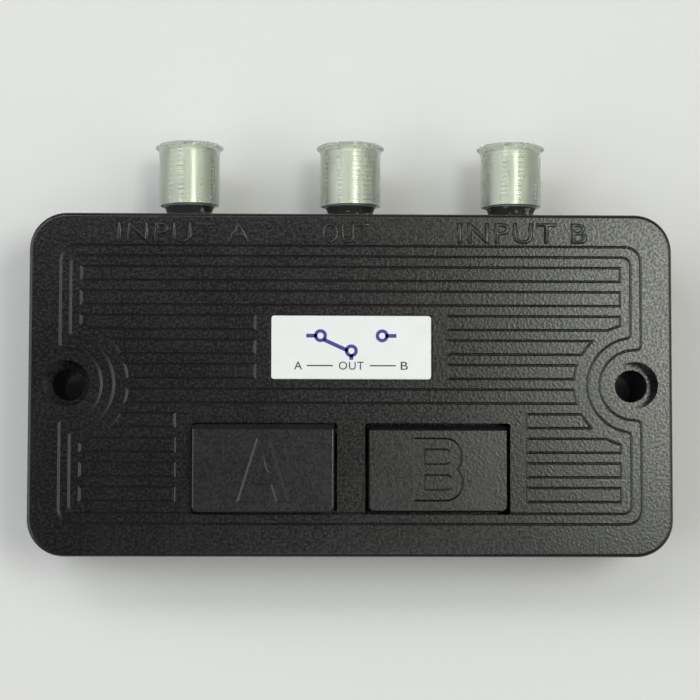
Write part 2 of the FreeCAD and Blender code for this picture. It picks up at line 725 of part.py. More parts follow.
def port_contact(x):
    """Slotted socket with a tail that bends down into the board."""
    bore = disc(SOCKET_BORE_R, SOCKET_Y0 + SOCKET_WALL, SOCKET_Y1 + OVER)
    slit = box(-SOCKET_R - OVER, SOCKET_R + OVER, -SOCKET_SLIT_HALF, SOCKET_SLIT_HALF,
               SOCKET_Y1 - SOCKET_SLIT_LENGTH, SOCKET_Y1 + OVER)
    socket = along_port(disc(SOCKET_R, SOCKET_Y0, SOCKET_Y1).cut([bore, slit]), x)
    bend_y = TAIL_Y + TAIL_BEND_R
    bend_z = PORT_Z - TAIL_BEND_R
    tail = rod(x, PORT_Z, TAIL_R, bend_y, SOCKET_Y0 + LAP)
    elbow_circle = Part.makeCircle(TAIL_R, V(x, bend_y, PORT_Z), Y_AXIS)
    elbow = Part.Face(Part.Wire(elbow_circle)).revolve(V(x, bend_y, bend_z), X_AXIS, 90)
    drop = post(x, TAIL_Y, TAIL_R, LEAD_END_Z, bend_z)
    return join([socket, tail, elbow, drop])


def hex_prism(flats, y0, y1):
    """Hexagonal prism along Z with its corners to left and right."""
    reach = flats / 2 / math.cos(math.pi / 6)
    corners = [V(reach * math.cos(math.radians(60 * k)), reach * math.sin(math.radians(60 * k)), y0)
               for k in range(7)]
    return Part.Face(Part.makePolygon(corners)).extrude(V(0, 0, y1 - y0))


def port_nuts():
    """Hexagonal nuts inside the can."""
    y1 = CAN_Y1 - SHEET - WASHER_THICK
    nuts = []
    for x in port_points().values():
        body = hex_prism(NUT_FLATS, y1 - NUT_THICK, y1)
        crown_r = NUT_FLATS / 2 - NUT_BEVEL
        crown = Part.makeCone(crown_r, crown_r + NUT_THICK * NUT_BEVEL_SLOPE, NUT_THICK,
                              V(0, 0, y1 - NUT_THICK))
        bore = disc(NUT_BORE_R, y1 - NUT_THICK - OVER, y1 + OVER)
        nuts.append(along_port(body.common(crown).cut(bore), x))
    return nuts


def port_washers():
    """Toothed lock washers between nut and can."""
    y1 = CAN_Y1 - SHEET
    washers = []
    for x in port_points().values():
        ring = disc(WASHER_R, y1 - WASHER_THICK, y1).cut(disc(WASHER_BORE_R, y1 - OVER, y1 + OVER))
        gaps = []
        for k in range(WASHER_TEETH):
            gap = box(-WASHER_GAP_HALF, WASHER_GAP_HALF, WASHER_R - WASHER_GAP_DEPTH, WASHER_R + OVER,
                      y1 - OVER, y1 + OVER)
            gap.rotate(V(0, 0, 0), Z_AXIS, 360 * k / WASHER_TEETH)
            gaps.append(gap)
        washers.append(along_port(ring.cut(gaps), x))
    return washers


def port_cap(x):
    """Thin push-on cap over a port's thread, flared just below its closed end."""
    inner_r = THREAD_R + CAP_PLAY
    outer_r = inner_r + CAP_WALL
    flare = Part.Arc(V(outer_r, 0, CAP_FLARE_Y0), V(CAP_FLARE_MID[0], 0, CAP_FLARE_MID[1]),
                     V(CAP_RIM_R, 0, CAP_RIM_Y0)).toShape()
    rest = [(CAP_RIM_R, CAP_RIM_Y0), (CAP_RIM_R, CAP_RIM_Y1), (outer_r, CAP_STEP_Y), (outer_r, CAP_Y1),
            (0, CAP_Y1), (0, CAP_Y0), (outer_r, CAP_Y0), (outer_r, CAP_FLARE_Y0)]
    corners = [V(r, 0, y) for r, y in rest]
    sides = [Part.makeLine(a, b) for a, b in zip(corners, corners[1:])]
    solid = Part.Face(Part.Wire([flare] + sides)).revolve(V(0, 0, 0), Z_AXIS, 360)
    solid = solid.makeFillet(CAP_END_ROUND, edges_at(solid, CAP_Y1))
    return along_port(solid.cut(disc(inner_r, CAP_Y0 - OVER, CAP_Y1 - CAP_END)), x)


# ---- board ----
def strip_pins(grow=0.0, z0=LEAD_END_Z, z1=BOARD_TOP):
    """Square pins of the three contact strips."""
    half = STRIP_PIN_HALF + grow
    return {name: box(x - half, x + half, STRIP_PIN_Y - half, STRIP_PIN_Y + half, z0, z1)
            for name, x in STRIP_PIN_X.items()}


def lead_points():
    """Where the round leads of the loads go through the board."""
    return [(x + s * LOAD_LEAD_SPAN, y) for x, y in LOAD_PLACES for s in (-1, 1)]


def housing_legs(grow=0.0):
    """Four legs of the slider housing, down through the board."""
    legs = []
    for x in (-HOUSING_LEG_X, HOUSING_LEG_X):
        for y in (HOUSING_Y0, HOUSING_Y1 - SHEET):
            legs.append(box(x - HOUSING_LEG_HALF - grow, x + HOUSING_LEG_HALF + grow, y - grow,
                            y + SHEET + grow, LEAD_END_Z, BOARD_TOP + LAP))
    return legs


def circuit_board():
    """Board with all its holes."""
    board = box(-BOARD_X, BOARD_X, BOARD_Y0, BOARD_Y1, BOARD_Z, BOARD_TOP)
    cuts = [post(x, y, SMALL_SCREW_R + SHANK_PLAY, 0, CASE_Z) for x, y in BOARD_FIX]
    cuts += [post(x, TAIL_Y, TAIL_R + LEAD_PLAY, 0, CASE_Z) for x in port_points().values()]
    cuts += [post(x, y, LOAD_LEAD_R + LEAD_PLAY, 0, CASE_Z) for x, y in lead_points()]
    cuts += list(strip_pins(SQUARE_PLAY, 0, CASE_Z).values())
    cuts += housing_legs(SQUARE_PLAY)
    return board.cut(cuts)


def board_tracks():
    """Copper on the underside: one track from each strip to its port, and the pads of the loads."""
    z0, z1 = BOARD_Z - TRACK_THICK, BOARD_Z
    holes = [post(x, TAIL_Y, TAIL_R + FOIL_PLAY, 0, CASE_Z) for x in port_points().values()]
    holes += [post(x, y, LOAD_LEAD_R + FOIL_PLAY, 0, CASE_Z) for x, y in lead_points()]
    holes += list(strip_pins(FOIL_PLAY, 0, CASE_Z).values())
    tracks = []
    for name, port_name in (("a", "a"), ("common", "out"), ("b", "b")):
        x0, x1 = STRIP_PIN_X[name], port_points()[port_name]
        low, high = sorted((x0, x1))
        pieces = [
            box(x0 - TRACK_HALF, x0 + TRACK_HALF, STRIP_PIN_Y - TRACK_TAIL, TRACK_Y + TRACK_HALF, z0, z1),
            box(low - TRACK_HALF, high + TRACK_HALF, TRACK_Y - TRACK_HALF, TRACK_Y + TRACK_HALF, z0, z1),
            box(x1 - TRACK_HALF, x1 + TRACK_HALF, TRACK_Y - TRACK_HALF, TAIL_Y, z0, z1),
            post(x1, TAIL_Y, PORT_PAD_R, z0, z1),
        ]
        tracks.append(join(pieces).cut(holes))
    for x, y in lead_points():
        tracks.append(post(x, y, SOLDER_R, z0, z1).cut(holes))
    return tracks


def solder_joints():
    """Solder cones on the underside around every lead."""
    z1 = BOARD_Z - TRACK_THICK
    z0 = LEAD_END_Z + SOLDER_TIP
    cores = [(x, TAIL_Y, post(x, TAIL_Y, TAIL_R, 0, CASE_Z)) for x in port_points().values()]
    cores += [(x, y, post(x, y, LOAD_LEAD_R, 0, CASE_Z)) for x, y in lead_points()]
    pins = strip_pins(0.0, 0, CASE_Z)
    cores += [(STRIP_PIN_X[name], STRIP_PIN_Y, pins[name]) for name in pins]
    return [Part.makeCone(SOLDER_TIP_R, SOLDER_R, z1 - z0, V(x, y, z0)).cut(core) for x, y, core in cores]


def board_spacers():
    """Tubes between chassis and board."""
    return [post(x, y, SPACER_R, CHASSIS_TOP, BOARD_Z).cut(post(x, y, SPACER_BORE_R, 0, CASE_Z))
            for x, y in BOARD_FIX]


def board_screws():
    """Four screws through board and spacers into the chassis."""
    return [pan_screw(x, y, BOARD_TOP, BOARD_SCREW_TIP_Z, SMALL_SCREW_R, SMALL_HEAD_R, SMALL_HEAD)
            for x, y in BOARD_FIX]


def termination_resistors():
    """Axial load resistors, one for each input."""
    resistors = []
    z = BOARD_TOP + LOAD_R + LOAD_STAND
    for x, y in LOAD_PLACES:
        waist_start = V(x - LOAD_LENGTH / 2 + LOAD_BEAD / 2, y, z)
        wire_start = V(x - LOAD_LEAD_SPAN, y, z)
        parts = [
            Part.makeCylinder(LOAD_WAIST_R, LOAD_LENGTH - LOAD_BEAD, waist_start, X_AXIS),
            Part.makeCylinder(LOAD_LEAD_R, 2 * LOAD_LEAD_SPAN, wire_start, X_AXIS),
        ]
        for side in (-1, 1):
            bead_x = x + side * (LOAD_LENGTH - LOAD_BEAD) / 2 - LOAD_BEAD / 2
            bead = Part.makeCylinder(LOAD_R, LOAD_BEAD, V(bead_x, y, z), X_AXIS)
            parts.append(bead.makeFillet(LOAD_ROUND, [e for e in bead.Edges if len(e.Vertexes) == 1]))
            lead_x = x + side * LOAD_LEAD_SPAN
            parts.append(post(lead_x, y, LOAD_LEAD_R, LEAD_END_Z, z))
            parts.append(Part.makeSphere(LOAD_LEAD_R, V(lead_x, y, z)))
        resistors.append(join(parts))
    return resistors


# ---- slide switch ----
def contact_strip(name):
    """Fixed contact strip with its pin through the board."""
    x0, x1 = STRIP_SPANS[name]
    strip = box(x0, x1, STRIP_Y0, STRIP_Y1, BOARD_TOP, BOARD_TOP + STRIP_THICK)
    return join([strip, strip_pins(0.0, LEAD_END_Z, BOARD_TOP + STRIP_THICK / 2)[name]])


def slider_housing():
    """Stamped cover over the slider, with legs through the board."""
    top = box(-HOUSING_X, HOUSING_X, HOUSING_Y0, HOUSING_Y1, HOUSING_TOP_Z - SHEET, HOUSING_TOP_Z)
    rear = box(-HOUSING_X, HOUSING_X, HOUSING_Y0, HOUSING_Y0 + SHEET, BOARD_TOP, HOUSING_TOP_Z)
    front = box(-HOUSING_X, HOUSING_X, HOUSING_Y1 - SHEET, HOUSING_Y1, BOARD_TOP, HOUSING_TOP_Z)
    window = box(-HOUSING_WINDOW_X, HOUSING_WINDOW_X, HOUSING_Y0 - OVER, HOUSING_Y0 + OVER,
                 BOARD_TOP - OVER, HOUSING_TOP_Z - SHEET)
    return join([top, rear, front] + housing_legs()).cut(window)


def contact_slider():
    """Moulded slider: block, pockets for the bridges, detent notches and the fork for the peg."""
    block = box(-SLIDER_X, SLIDER_X, 0, SLIDER_Y1, SLIDER_Z0, SLIDER_Z1)
    tail = box(-FORK_X, FORK_X, FORK_Y0, LAP, SLIDER_Z0, FORK_SLOT_Z)
    fork = box(-FORK_X, FORK_X, FORK_Y0, FORK_Y1, FORK_SLOT_Z - LAP, FORK_TOP_Z)
    body = join([block, tail, fork])
    cuts = [box(-FORK_SLOT_HALF, FORK_SLOT_HALF, FORK_Y0 - OVER, FORK_Y1 + OVER / 2, FORK_SLOT_Z,
                FORK_TOP_Z + OVER)]
    for y in BRIDGE_ROWS:
        cuts.append(box(-POCKET_X, POCKET_X, y - POCKET_HALF_Y, y + POCKET_HALF_Y,
                        SLIDER_Z0 - OVER, POCKET_TOP_Z))
    for side in (-1, 1):
        x = side * PEG_SHIFT
        notch = [(x - NOTCH_HALF, SLIDER_Y1), (x - NOTCH_HALF, SLIDER_Y1 + OVER),
                 (x + NOTCH_HALF, SLIDER_Y1 + OVER), (x + NOTCH_HALF, SLIDER_Y1),
                 (x, SLIDER_Y1 - NOTCH_DEPTH)]
        cuts.append(prism(notch, SLIDER_Z0 - OVER, SLIDER_Z1 + OVER))
    slider = body.cut(cuts)
    slider.translate(V(PEG_SHIFT, 0, 0))
    return slider


def leaf(points, thick, direction, length):
    """Strip of even thickness: a line of (u, w) points, thickened along w and extruded."""
    upper = [(u, w + thick) for u, w in reversed(points)]
    ring = points + upper + points[:1]
    return Part.Face(Part.makePolygon([direction(u, w) for u, w in ring])).extrude(length)


def bridge_contacts():
    """Two bridging springs in the slider's pockets, each with two bumps."""
    low = BOARD_TOP + STRIP_THICK + BRIDGE_GAP
    high = POCKET_TOP_Z - BRIDGE_LEAF
    side = low + BRIDGE_BUMP_RISE
    half = [(BRIDGE_CREST_X, high), (BRIDGE_BUMP_X - BRIDGE_BUMP_HALF, side), (BRIDGE_BUMP_X, low),
            (BRIDGE_BUMP_X + BRIDGE_BUMP_HALF, side), (BRIDGE_END_X, low + BRIDGE_END_RISE)]
    line = [(-x, z) for x, z in reversed(half)] + half
    bridges = []
    for y in BRIDGE_ROWS:
        strip = leaf(line, BRIDGE_LEAF, lambda u, w: V(u, y - BRIDGE_HALF_Y, w), V(0, 2 * BRIDGE_HALF_Y, 0))
        strip.translate(V(PEG_SHIFT, 0, 0))
        bridges.append(strip)
    return bridges


def detent_spring():
    """Leaf between slider and housing, with the bump that clicks into the slider's notches.

    It is drawn at the height where the bump passes the crest between the notches."""
    back = HOUSING_Y1 - SHEET - DETENT_LEAF
    bump = SLIDER_Y1 + DETENT_GAP
    half = [(DETENT_BUMP_X, bump), (DETENT_FOOT_X, back), (DETENT_X, back)]
    line = [(-x, y) for x, y in reversed(half)] + half
    return leaf(line, DETENT_LEAF, lambda u, w: V(u, w, DETENT_Z0), V(0, 0, DETENT_HEIGHT))


# ---- actuator ----
def key_guide():
    """Moulded plate under the face, with a sleeve for each key's post."""
    plate = rounded_block(2 * GUIDE_X, GUIDE_Y1 - GUIDE_Y0, GUIDE_ROUND, GUIDE_Z0, GUIDE_Z1,
                          (0.0, (GUIDE_Y0 + GUIDE_Y1) / 2))
    wall = 2 * SLEEVE_WALL
    sleeves = [rounded_block(POST_X + wall, POST_Y + wall, SLEEVE_ROUND, SLEEVE_Z0, GUIDE_Z1,
                             (side * KEY_CENTRE_X, KEY_CENTRE_Y)) for side in (-1, 1)]
    play = 2 * GUIDE_HOLE_PLAY
    cuts = [box(-GUIDE_NOTCH_X, GUIDE_NOTCH_X, GUIDE_NOTCH_Y, GUIDE_Y1 + OVER,
                GUIDE_Z0 - OVER, GUIDE_Z1 + OVER)]
    for side in (-1, 1):
        x = side * KEY_CENTRE_X
        half_x, half_y = (POST_X + play) / 2, (POST_Y + play) / 2
        cuts.append(box(x - half_x, x + half_x, KEY_CENTRE_Y - half_y, KEY_CENTRE_Y + half_y,
                        SLEEVE_Z0 - OVER, GUIDE_Z1 + OVER))
        cuts.append(post(side * GUIDE_FIX_X, KEY_CENTRE_Y, SMALL_SCREW_R + SHANK_PLAY,
                         GUIDE_Z0 - OVER, GUIDE_Z1 + OVER))
    return join([plate] + sleeves).cut(cuts)


def guide_screws():
    """Two screws from below into the top cover's bosses."""
    return [pan_screw(side * GUIDE_FIX_X, KEY_CENTRE_Y, GUIDE_Z0, GUIDE_SCREW_TIP_Z, SMALL_SCREW_R,
                      SMALL_HEAD_R, SMALL_HEAD) for side in (-1, 1)]


def prism(points, z0, z1):
    """Upright prism over a closed line of points."""
    ring = [V(x, y, z0) for x, y in points + points[:1]]
    return Part.Face(Part.makePolygon(ring)).extrude(V(0, 0, z1 - z0))


def mark_a(z0, z1):
    """Plain capital A in relief, its foot line at y = 0."""
    height = MARK_HEIGHT
    half, tip = MARK_A_HALF, MARK_A_TIP
    bar_low, bar_high = MARK_A_BAR
    lean = (half - tip) / height
    inner_foot = half - MARK_STROKE * math.sqrt(1 + lean ** 2)
    inner_bar = inner_foot - lean * bar_low
    outer = [(-half, 0), (-inner_foot, 0), (-inner_bar, bar_low), (inner_bar, bar_low),
             (inner_foot, 0), (half, 0), (tip, height), (-tip, height)]
    inner_half = inner_foot - lean * bar_high
    counter = [(-inner_half, bar_high), (inner_half, bar_high), (0, bar_high + inner_half / lean)]
    return prism(outer, z0, z1).cut(prism(counter, z0 - OVER, z1 + OVER))


def bowl(x1, y0, y1, radius, z0, z1, x0=0.0):
    """Block rounded on its two right-hand corners."""
    block = box(x0, x1, y0, y1, z0, z1)
    right = [e for e in block.Edges if all(abs(v.X - x1) < 1e-6 for v in e.Vertexes)
             and abs(e.Vertexes[0].Z - e.Vertexes[1].Z) > (z1 - z0) / 2]
    return block.makeFillet(radius, right)


def mark_b(z0, z1):
    """Plain capital B in relief, its foot line at y = 0 and its middle at x = 0."""
    height, stroke = MARK_HEIGHT, MARK_STROKE
    waist = height * MARK_B_WAIST
    low, high = z0 - OVER, z1 + OVER
    upper = bowl(MARK_B_UPPER_X, waist - stroke / 2, height, MARK_B_UPPER_ROUND, z0, z1)
    lower = bowl(MARK_B_LOWER_X, 0, waist + stroke / 2, MARK_B_LOWER_ROUND, z0, z1)
    inner = MARK_B_INNER_ROUND
    letter = join([upper, lower]).cut([
        bowl(MARK_B_UPPER_X - stroke, waist + stroke / 2, height - stroke, inner, low, high, stroke),
        bowl(MARK_B_LOWER_X - stroke, stroke, waist - stroke / 2, inner, low, high, stroke),
    ])
    letter.translate(V(-MARK_B_LOWER_X / 2, 0, 0))
    return letter


def key_slope(cx, cy, top_z):
    """Wedge that slopes a key's top edge down towards the ports."""
    edge_y = cy + KEY_Y / 2
    run, fall = KEY_SLOPE_Y, KEY_SLOPE_Z
    near = (edge_y - 2 * run, top_z + fall)
    section = [near, (edge_y + run, top_z + fall), (edge_y + run, top_z - 2 * fall), near]
    outline = Part.makePolygon([V(cx - KEY_X, y, z) for y, z in section])
    return Part.Face(outline).extrude(V(2 * KEY_X, 0, 0))


def key_cap(side, top_z, mark):
    """Push key around its post: hollow cap with a sloping rear edge, flange, ribs and raised letter."""
    px, py = side * KEY_CENTRE_X, KEY_CENTRE_Y
    cx, cy = px + side * KEY_SET_X, py + KEY_SET_Y
    rim_z = top_z - (KEY_OUT_Z - FACE_INNER_Z + KEY_STOP_GAP)
    foot_z = top_z - (KEY_OUT_Z - PIVOT_Z - KEY_TRAVEL / 2 - PAD_R - PAD_GAP)
    low_z = rim_z - KEY_FLANGE_THICK
    cap = rounded_block(KEY_X, KEY_Y, KEY_ROUND, low_z, top_z, (cx, cy))
    cap = cap.makeFillet(KEY_EDGE_ROUND, edges_at(cap, top_z)).cut(key_slope(cx, cy, top_z))
    inner_x, outer_x = sorted((cx - side * KEY_X / 2, cx + side * (KEY_X / 2 + KEY_FLANGE)))
    flange = box(inner_x, outer_x, cy - KEY_Y / 2 - KEY_FLANGE, cy + KEY_Y / 2 + KEY_FLANGE, low_z, rim_z)
    under_z = top_z - KEY_TOP
    cavity = rounded_block(KEY_X - 2 * KEY_SHELL, KEY_Y - 2 * KEY_SHELL, CAVITY_ROUND,
                           low_z - OVER, under_z, (cx, cy))
    body = join([cap, flange]).cut(cavity)
    stem = box(px - POST_X / 2, px + POST_X / 2, py - POST_Y / 2, py + POST_Y / 2, foot_z, under_z + LAP)
    taper_z = foot_z + POST_TAPER
    for way in (-1, 1):
        wedge = [(POST_FOOT_X / 2, foot_z), (POST_FOOT_X / 2, foot_z - OVER), (POST_X, foot_z - OVER),
                 (POST_X, taper_z), (POST_X / 2, taper_z), (POST_FOOT_X / 2, foot_z)]
        outline = Part.makePolygon([V(px + way * x, py - POST_Y, z) for x, z in wedge])
        stem = stem.cut(Part.Face(outline).extrude(V(0, 2 * POST_Y, 0)))
    half_x, half_y = KEY_X / 2 - RIB_END, KEY_Y / 2 - RIB_END
    rib_z = under_z - RIB_DEPTH
    ribs = [box(cx - half_x, cx + half_x, cy - RIB_THICK / 2, cy + RIB_THICK / 2, rib_z, under_z + LAP),
            box(cx - RIB_THICK / 2, cx + RIB_THICK / 2, cy - half_y, cy + half_y, rib_z, under_z + LAP)]
    letter, offset = mark
    z0, z1 = top_z - MARK_ROOT, top_z + MARK_RELIEF
    foot = MARK_DRAFT * (1 + MARK_ROOT / MARK_RELIEF)
    raised = drafted(flat_face(letter, 0.0), z0, foot, z1, 0.0, SHARP_JOIN)
    raised.translate(V(px, py - MARK_HEIGHT / 2, 0) + offset)
    return join([body, stem, raised] + ribs)


def key_a():
    """Key A, out at rest."""
    return key_cap(-1, KEY_OUT_Z, (mark_a(0, 1), MARK_A_OFFSET))


def key_b():
    """Key B, pressed in at rest."""
    return key_cap(1, KEY_OUT_Z - KEY_TRAVEL, (mark_b(0, 1), MARK_B_OFFSET))


def rocker():
    """See-saw under the keys with the upright finger and its peg, tipped towards key B."""
    arms = box(-ARM_LENGTH, ARM_LENGTH, ARM_Y0, ARM_Y1, PIVOT_Z - ARM_HALF_THICK, PIVOT_Z + ARM_HALF_THICK)
    pads = [rod(side * ARM_LENGTH, PIVOT_Z, PAD_R, ARM_Y0, ARM_Y1) for side in (-1, 1)]
    hub = rod(0, PIVOT_Z, HUB_R, HUB_Y0, HUB_Y1)
    peg_z = PIVOT_Z + PEG_HEIGHT
    finger = join([
        box(-FINGER_HALF_X, FINGER_HALF_X, FINGER_Y0, FINGER_Y1, PIVOT_Z, peg_z),
        rod(0, peg_z, PEG_R, FINGER_Y0, PEG_END_Y),
    ])
    bore = rod(0, PIVOT_Z, PIN_R + PIN_PLAY, HUB_Y0 - OVER, HUB_Y1 + OVER)
    body = join([arms, hub, finger] + pads).cut(bore)
    body.rotate(V(0, 0, PIVOT_Z), Y_AXIS, ROCK_HALF_ANGLE)
    return body


def rocker_pin():
    """Steel pin through both ears, grooved for the clips."""
    pin = rod(0, PIVOT_Z, PIN_R, PIN_Y0, PIN_Y1)
    ends = [e for e in pin.Edges if len(e.Vertexes) == 1]
    pin = pin.makeChamfer(PIN_CHAMFER, ends)
    grooves = []
    for y in CLIP_PLACES:
        y0, y1 = y - CLIP_GROOVE_PLAY, y + CLIP_THICK + CLIP_GROOVE_PLAY
        core = rod(0, PIVOT_Z, CLIP_GROOVE_R, y0 - OVER, y1 + OVER)
        grooves.append(rod(0, PIVOT_Z, PIN_R + OVER, y0, y1).cut(core))
    return pin.cut(grooves)


def pin_clips():
    """Open retaining clips on the pin."""
    clips = []
    for y in CLIP_PLACES:
        core = rod(0, PIVOT_Z, CLIP_GROOVE_R + CLIP_GROOVE_PLAY, y - OVER, y + OVER)
        ring = rod(0, PIVOT_Z, CLIP_R, y, y + CLIP_THICK).cut(core)
        mouth = box(-CLIP_MOUTH, CLIP_MOUTH, y - OVER, y + OVER, PIVOT_Z, PIVOT_Z + CLIP_R + OVER)
        clips.append(ring.cut(mouth))
    return clips


# ---- files ----
def group(shape):
    """One solid, or several separate ones as a compound."""
    if isinstance(shape, list):
        return Part.makeCompound(shape)
    return shape


def nodes():
    """Every node's name and shape."""
    made = {
        "top_cover": top_cover(), "bottom_cover": bottom_cover(), "cover_screws": cover_screws(),
        "label_plate": label_plate(), "chassis_plate": chassis_plate(), "chassis_screws": chassis_screws(),
        "shield_can": shield_can(), "port_nuts": port_nuts(), "port_washers": port_washers(),
        "circuit_board": circuit_board(), "board_tracks": board_tracks(), "board_spacers": board_spacers(),
        "board_screws": board_screws(), "solder_joints": solder_joints(),
        "termination_resistors": termination_resistors(), "slider_housing": slider_housing(),
        "detent_spring": detent_spring(), "contact_slider": contact_slider(),
        "bridge_contacts": bridge_contacts(), "key_guide": key_guide(), "guide_screws": guide_screws(),
        "key_a": key_a(), "key_b": key_b(), "rocker": rocker(), "rocker_pin": rocker_pin(),
        "pin_clips": pin_clips(),
    }
    shells = port_shells()
    for name, x in port_points().items():
        made["port_%s_shell" % name] = shells[name]
        made["port_%s_insulator" % name] = port_insulator(x)
        made["port_%s_contact" % name] = port_contact(x)
        made["port_%s_cap" % name] = port_cap(x)
    for name in STRIP_SPANS:
        made["contact_strip_%s" % name] = contact_strip(name)
    return made


os.makedirs("parts", exist_ok=True)
for node_name, node_shape in nodes().items():
    whole = group(node_shape)
    print(node_name, len(whole.Solids), whole.isValid(), round(whole.Volume, 2))
    whole.exportStep("parts/%s.step" % node_name)
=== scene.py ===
"""Finishes, small printed and moulded details and studio of a coaxial antenna switch.

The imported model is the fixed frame: +X runs along the long side, +Y towards the three ports and +Z out
of the face with the keys. Blender's unit is the metre; sizes that are named in millimetres are turned
into metres with MM.
"""
import logging
import math
from dataclasses import dataclass, field
from enum import Enum
from typing import Callable, ClassVar, Iterable, Optional, Union

import bmesh
import bpy
from mathutils import Matrix, Vector


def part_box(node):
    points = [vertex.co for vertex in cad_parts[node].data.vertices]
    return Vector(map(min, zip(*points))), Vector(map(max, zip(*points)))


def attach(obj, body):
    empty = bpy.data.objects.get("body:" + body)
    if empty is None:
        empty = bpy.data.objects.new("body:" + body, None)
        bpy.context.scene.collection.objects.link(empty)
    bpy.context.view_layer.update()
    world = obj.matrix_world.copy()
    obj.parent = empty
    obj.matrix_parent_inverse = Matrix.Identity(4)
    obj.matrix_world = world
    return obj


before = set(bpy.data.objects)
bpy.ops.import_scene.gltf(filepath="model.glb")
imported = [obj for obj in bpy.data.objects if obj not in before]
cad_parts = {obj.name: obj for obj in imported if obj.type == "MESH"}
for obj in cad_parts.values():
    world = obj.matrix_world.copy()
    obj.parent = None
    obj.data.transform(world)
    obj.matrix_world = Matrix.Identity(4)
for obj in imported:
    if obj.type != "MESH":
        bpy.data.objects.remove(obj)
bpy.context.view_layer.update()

MM = 0.001
LOG = logging.getLogger("antenna_switch")

Node = bpy.types.Node
Socket = bpy.types.NodeSocket
BMesh = bmesh.types.BMesh
Colour = tuple[float, float, float]
Place = tuple[float, float, float]
Span = tuple[float, float]
Value = Union[float, tuple, Socket]

# Socket types of the node groups.
NUMBER, VECTOR = "NodeSocketFloat", "NodeSocketVector"

# Spans that numbers are mapped from or to; a noise seldom leaves the second one.
UNIT: Span = (0.0, 1.0)
NOISE_SPAN: Span = (0.3, 0.7)
NOISE_CORE: Span = (0.35, 0.65)

# Letters, in shares of the font's size.
LETTER_SPACING = 1.12
LETTER_STEPS = 6
LETTER_THINNED = 0.028
LETTER_FLANK = 0.05
LETTER_FLANK_STEPS = 2
LETTER_WELD = 1e-5


# ---- node trees
class Graph:
    """A node tree that is being wired up."""

    def __init__(self, tree: bpy.types.NodeTree) -> None:
        """Take over a tree and empty it.

        Args:
            tree: the node tree of a material, a world or a group.
        """
        self.tree = tree
        tree.nodes.clear()

    def put(self, socket: Socket, value: Value) -> None:
        """Link a socket to another one, or set its constant.

        Args:
            socket: the input to fill.
            value: an output socket, a number or a tuple.
        """
        if isinstance(value, Socket):
            self.tree.links.new(value, socket)
        elif isinstance(value, tuple) and socket.type == "RGBA":
            socket.default_value = (*value[:3], 1.0)
        else:
            socket.default_value = value

    def node(self, kind: str, inputs: dict[Union[str, int], Value], **settings: object) -> Node:
        """Add a node.

        Args:
            kind: Blender's type name without the ShaderNode prefix.
            inputs: values or links by input name or index.
            **settings: attributes of the node, such as operation.

        Returns:
            The new node.
        """
        made = self.tree.nodes.new("ShaderNode" + kind)
        for name, setting in settings.items():
            setattr(made, name, setting)
        for key, value in inputs.items():
            self.put(made.inputs[key], value)
        return made

    def math(self, operation: str, first: Value, second: Value = 0.0, clamp: bool = False) -> Socket:
        """Add a Math node.

        Args:
            operation: name of the operation, such as MULTIPLY.
            first: first operand.
            second: second operand.
            clamp: whether the result is held between 0 and 1.

        Returns:
            The node's result.
        """
        return self.node("Math", {0: first, 1: second}, operation=operation, use_clamp=clamp).outputs[0]

    def times(self, first: Value, second: Value) -> Socket:
        """Multiply two numbers."""
        return self.math("MULTIPLY", first, second)

    def remap(self, value: Value, source: Span, target: Span = UNIT) -> Socket:
        """Map one range onto another, held inside the target range.

        Args:
            value: the number to map.
            source: the range that it comes from.
            target: the range that it goes to.

        Returns:
            The mapped number.
        """
        inputs = {0: value, 1: source[0], 2: source[1], 3: target[0], 4: target[1]}
        return self.node("MapRange", inputs, clamp=True).outputs[0]

    def mix(self, factor: Value, first: Value, second: Value) -> Socket:
        """Mix two colours.

        Args:
            factor: share of the second colour.
            first: colour at factor 0.
            second: colour at factor 1.

        Returns:
            The mixed colour.
        """
        inputs = {0: factor, 6: first, 7: second}
        return self.node("Mix", inputs, data_type="RGBA", clamp_factor=True).outputs[2]

    def noise(self, place: Value, scale: Value, detail: float = 2.0, roughness: float = 0.5) -> Socket:
        """Add a Noise Texture.

        Args:
            place: coordinates.
            scale: cells per metre.
            detail: number of octaves.
            roughness: weight of the finer octaves.

        Returns:
            The noise between 0 and 1.
        """
        inputs = {"Vector": place, "Scale": scale, "Detail": detail, "Roughness": roughness}
        return self.node("TexNoise", inputs).outputs[0]

    def place(self) -> Socket:
        """Object coordinates."""
        return self.node("TexCoord", {}).outputs["Object"]

    def stretched(self, place: Value, scale: Place, turn: float = 0.0) -> Socket:
        """Scale and turn coordinates, so that a pattern runs along one way.

        Args:
            place: coordinates.
            scale: factor along each axis.
            turn: turn about Z in degrees.

        Returns:
            The mapped coordinates.
        """
        inputs = {"Vector": place, "Scale": scale, "Rotation": (0.0, 0.0, math.radians(turn))}
        return self.node("Mapping", inputs).outputs[0]

    def axis(self, place: Value, which: int) -> Socket:
        """Take X, Y or Z (0, 1 or 2) of a place."""
        return self.node("SeparateXYZ", {0: place}).outputs[which]

    def density(self, size: Value) -> Socket:
        """Turn the size of one cell into cells per metre."""
        return self.math("DIVIDE", 1.0, size)

    def coat(self, inputs: dict[str, Value]) -> Socket:
        """Add a Principled shader with these inputs."""
        return self.node("BsdfPrincipled", inputs).outputs[0]

    def bump(self, height: Value, strength: float, distance: float, normal: Optional[Value] = None) -> Socket:
        """Raise a pattern.

        Args:
            height: the pattern.
            strength: share of it that shows.
            distance: how high 1 stands, in metres.
            normal: what it stands on, if not the plain surface.

        Returns:
            The bumped normal.
        """
        inputs = {"Height": height, "Strength": strength, "Distance": distance}
        if normal is not None:
            inputs["Normal"] = normal
        return self.node("Bump", inputs).outputs[0]


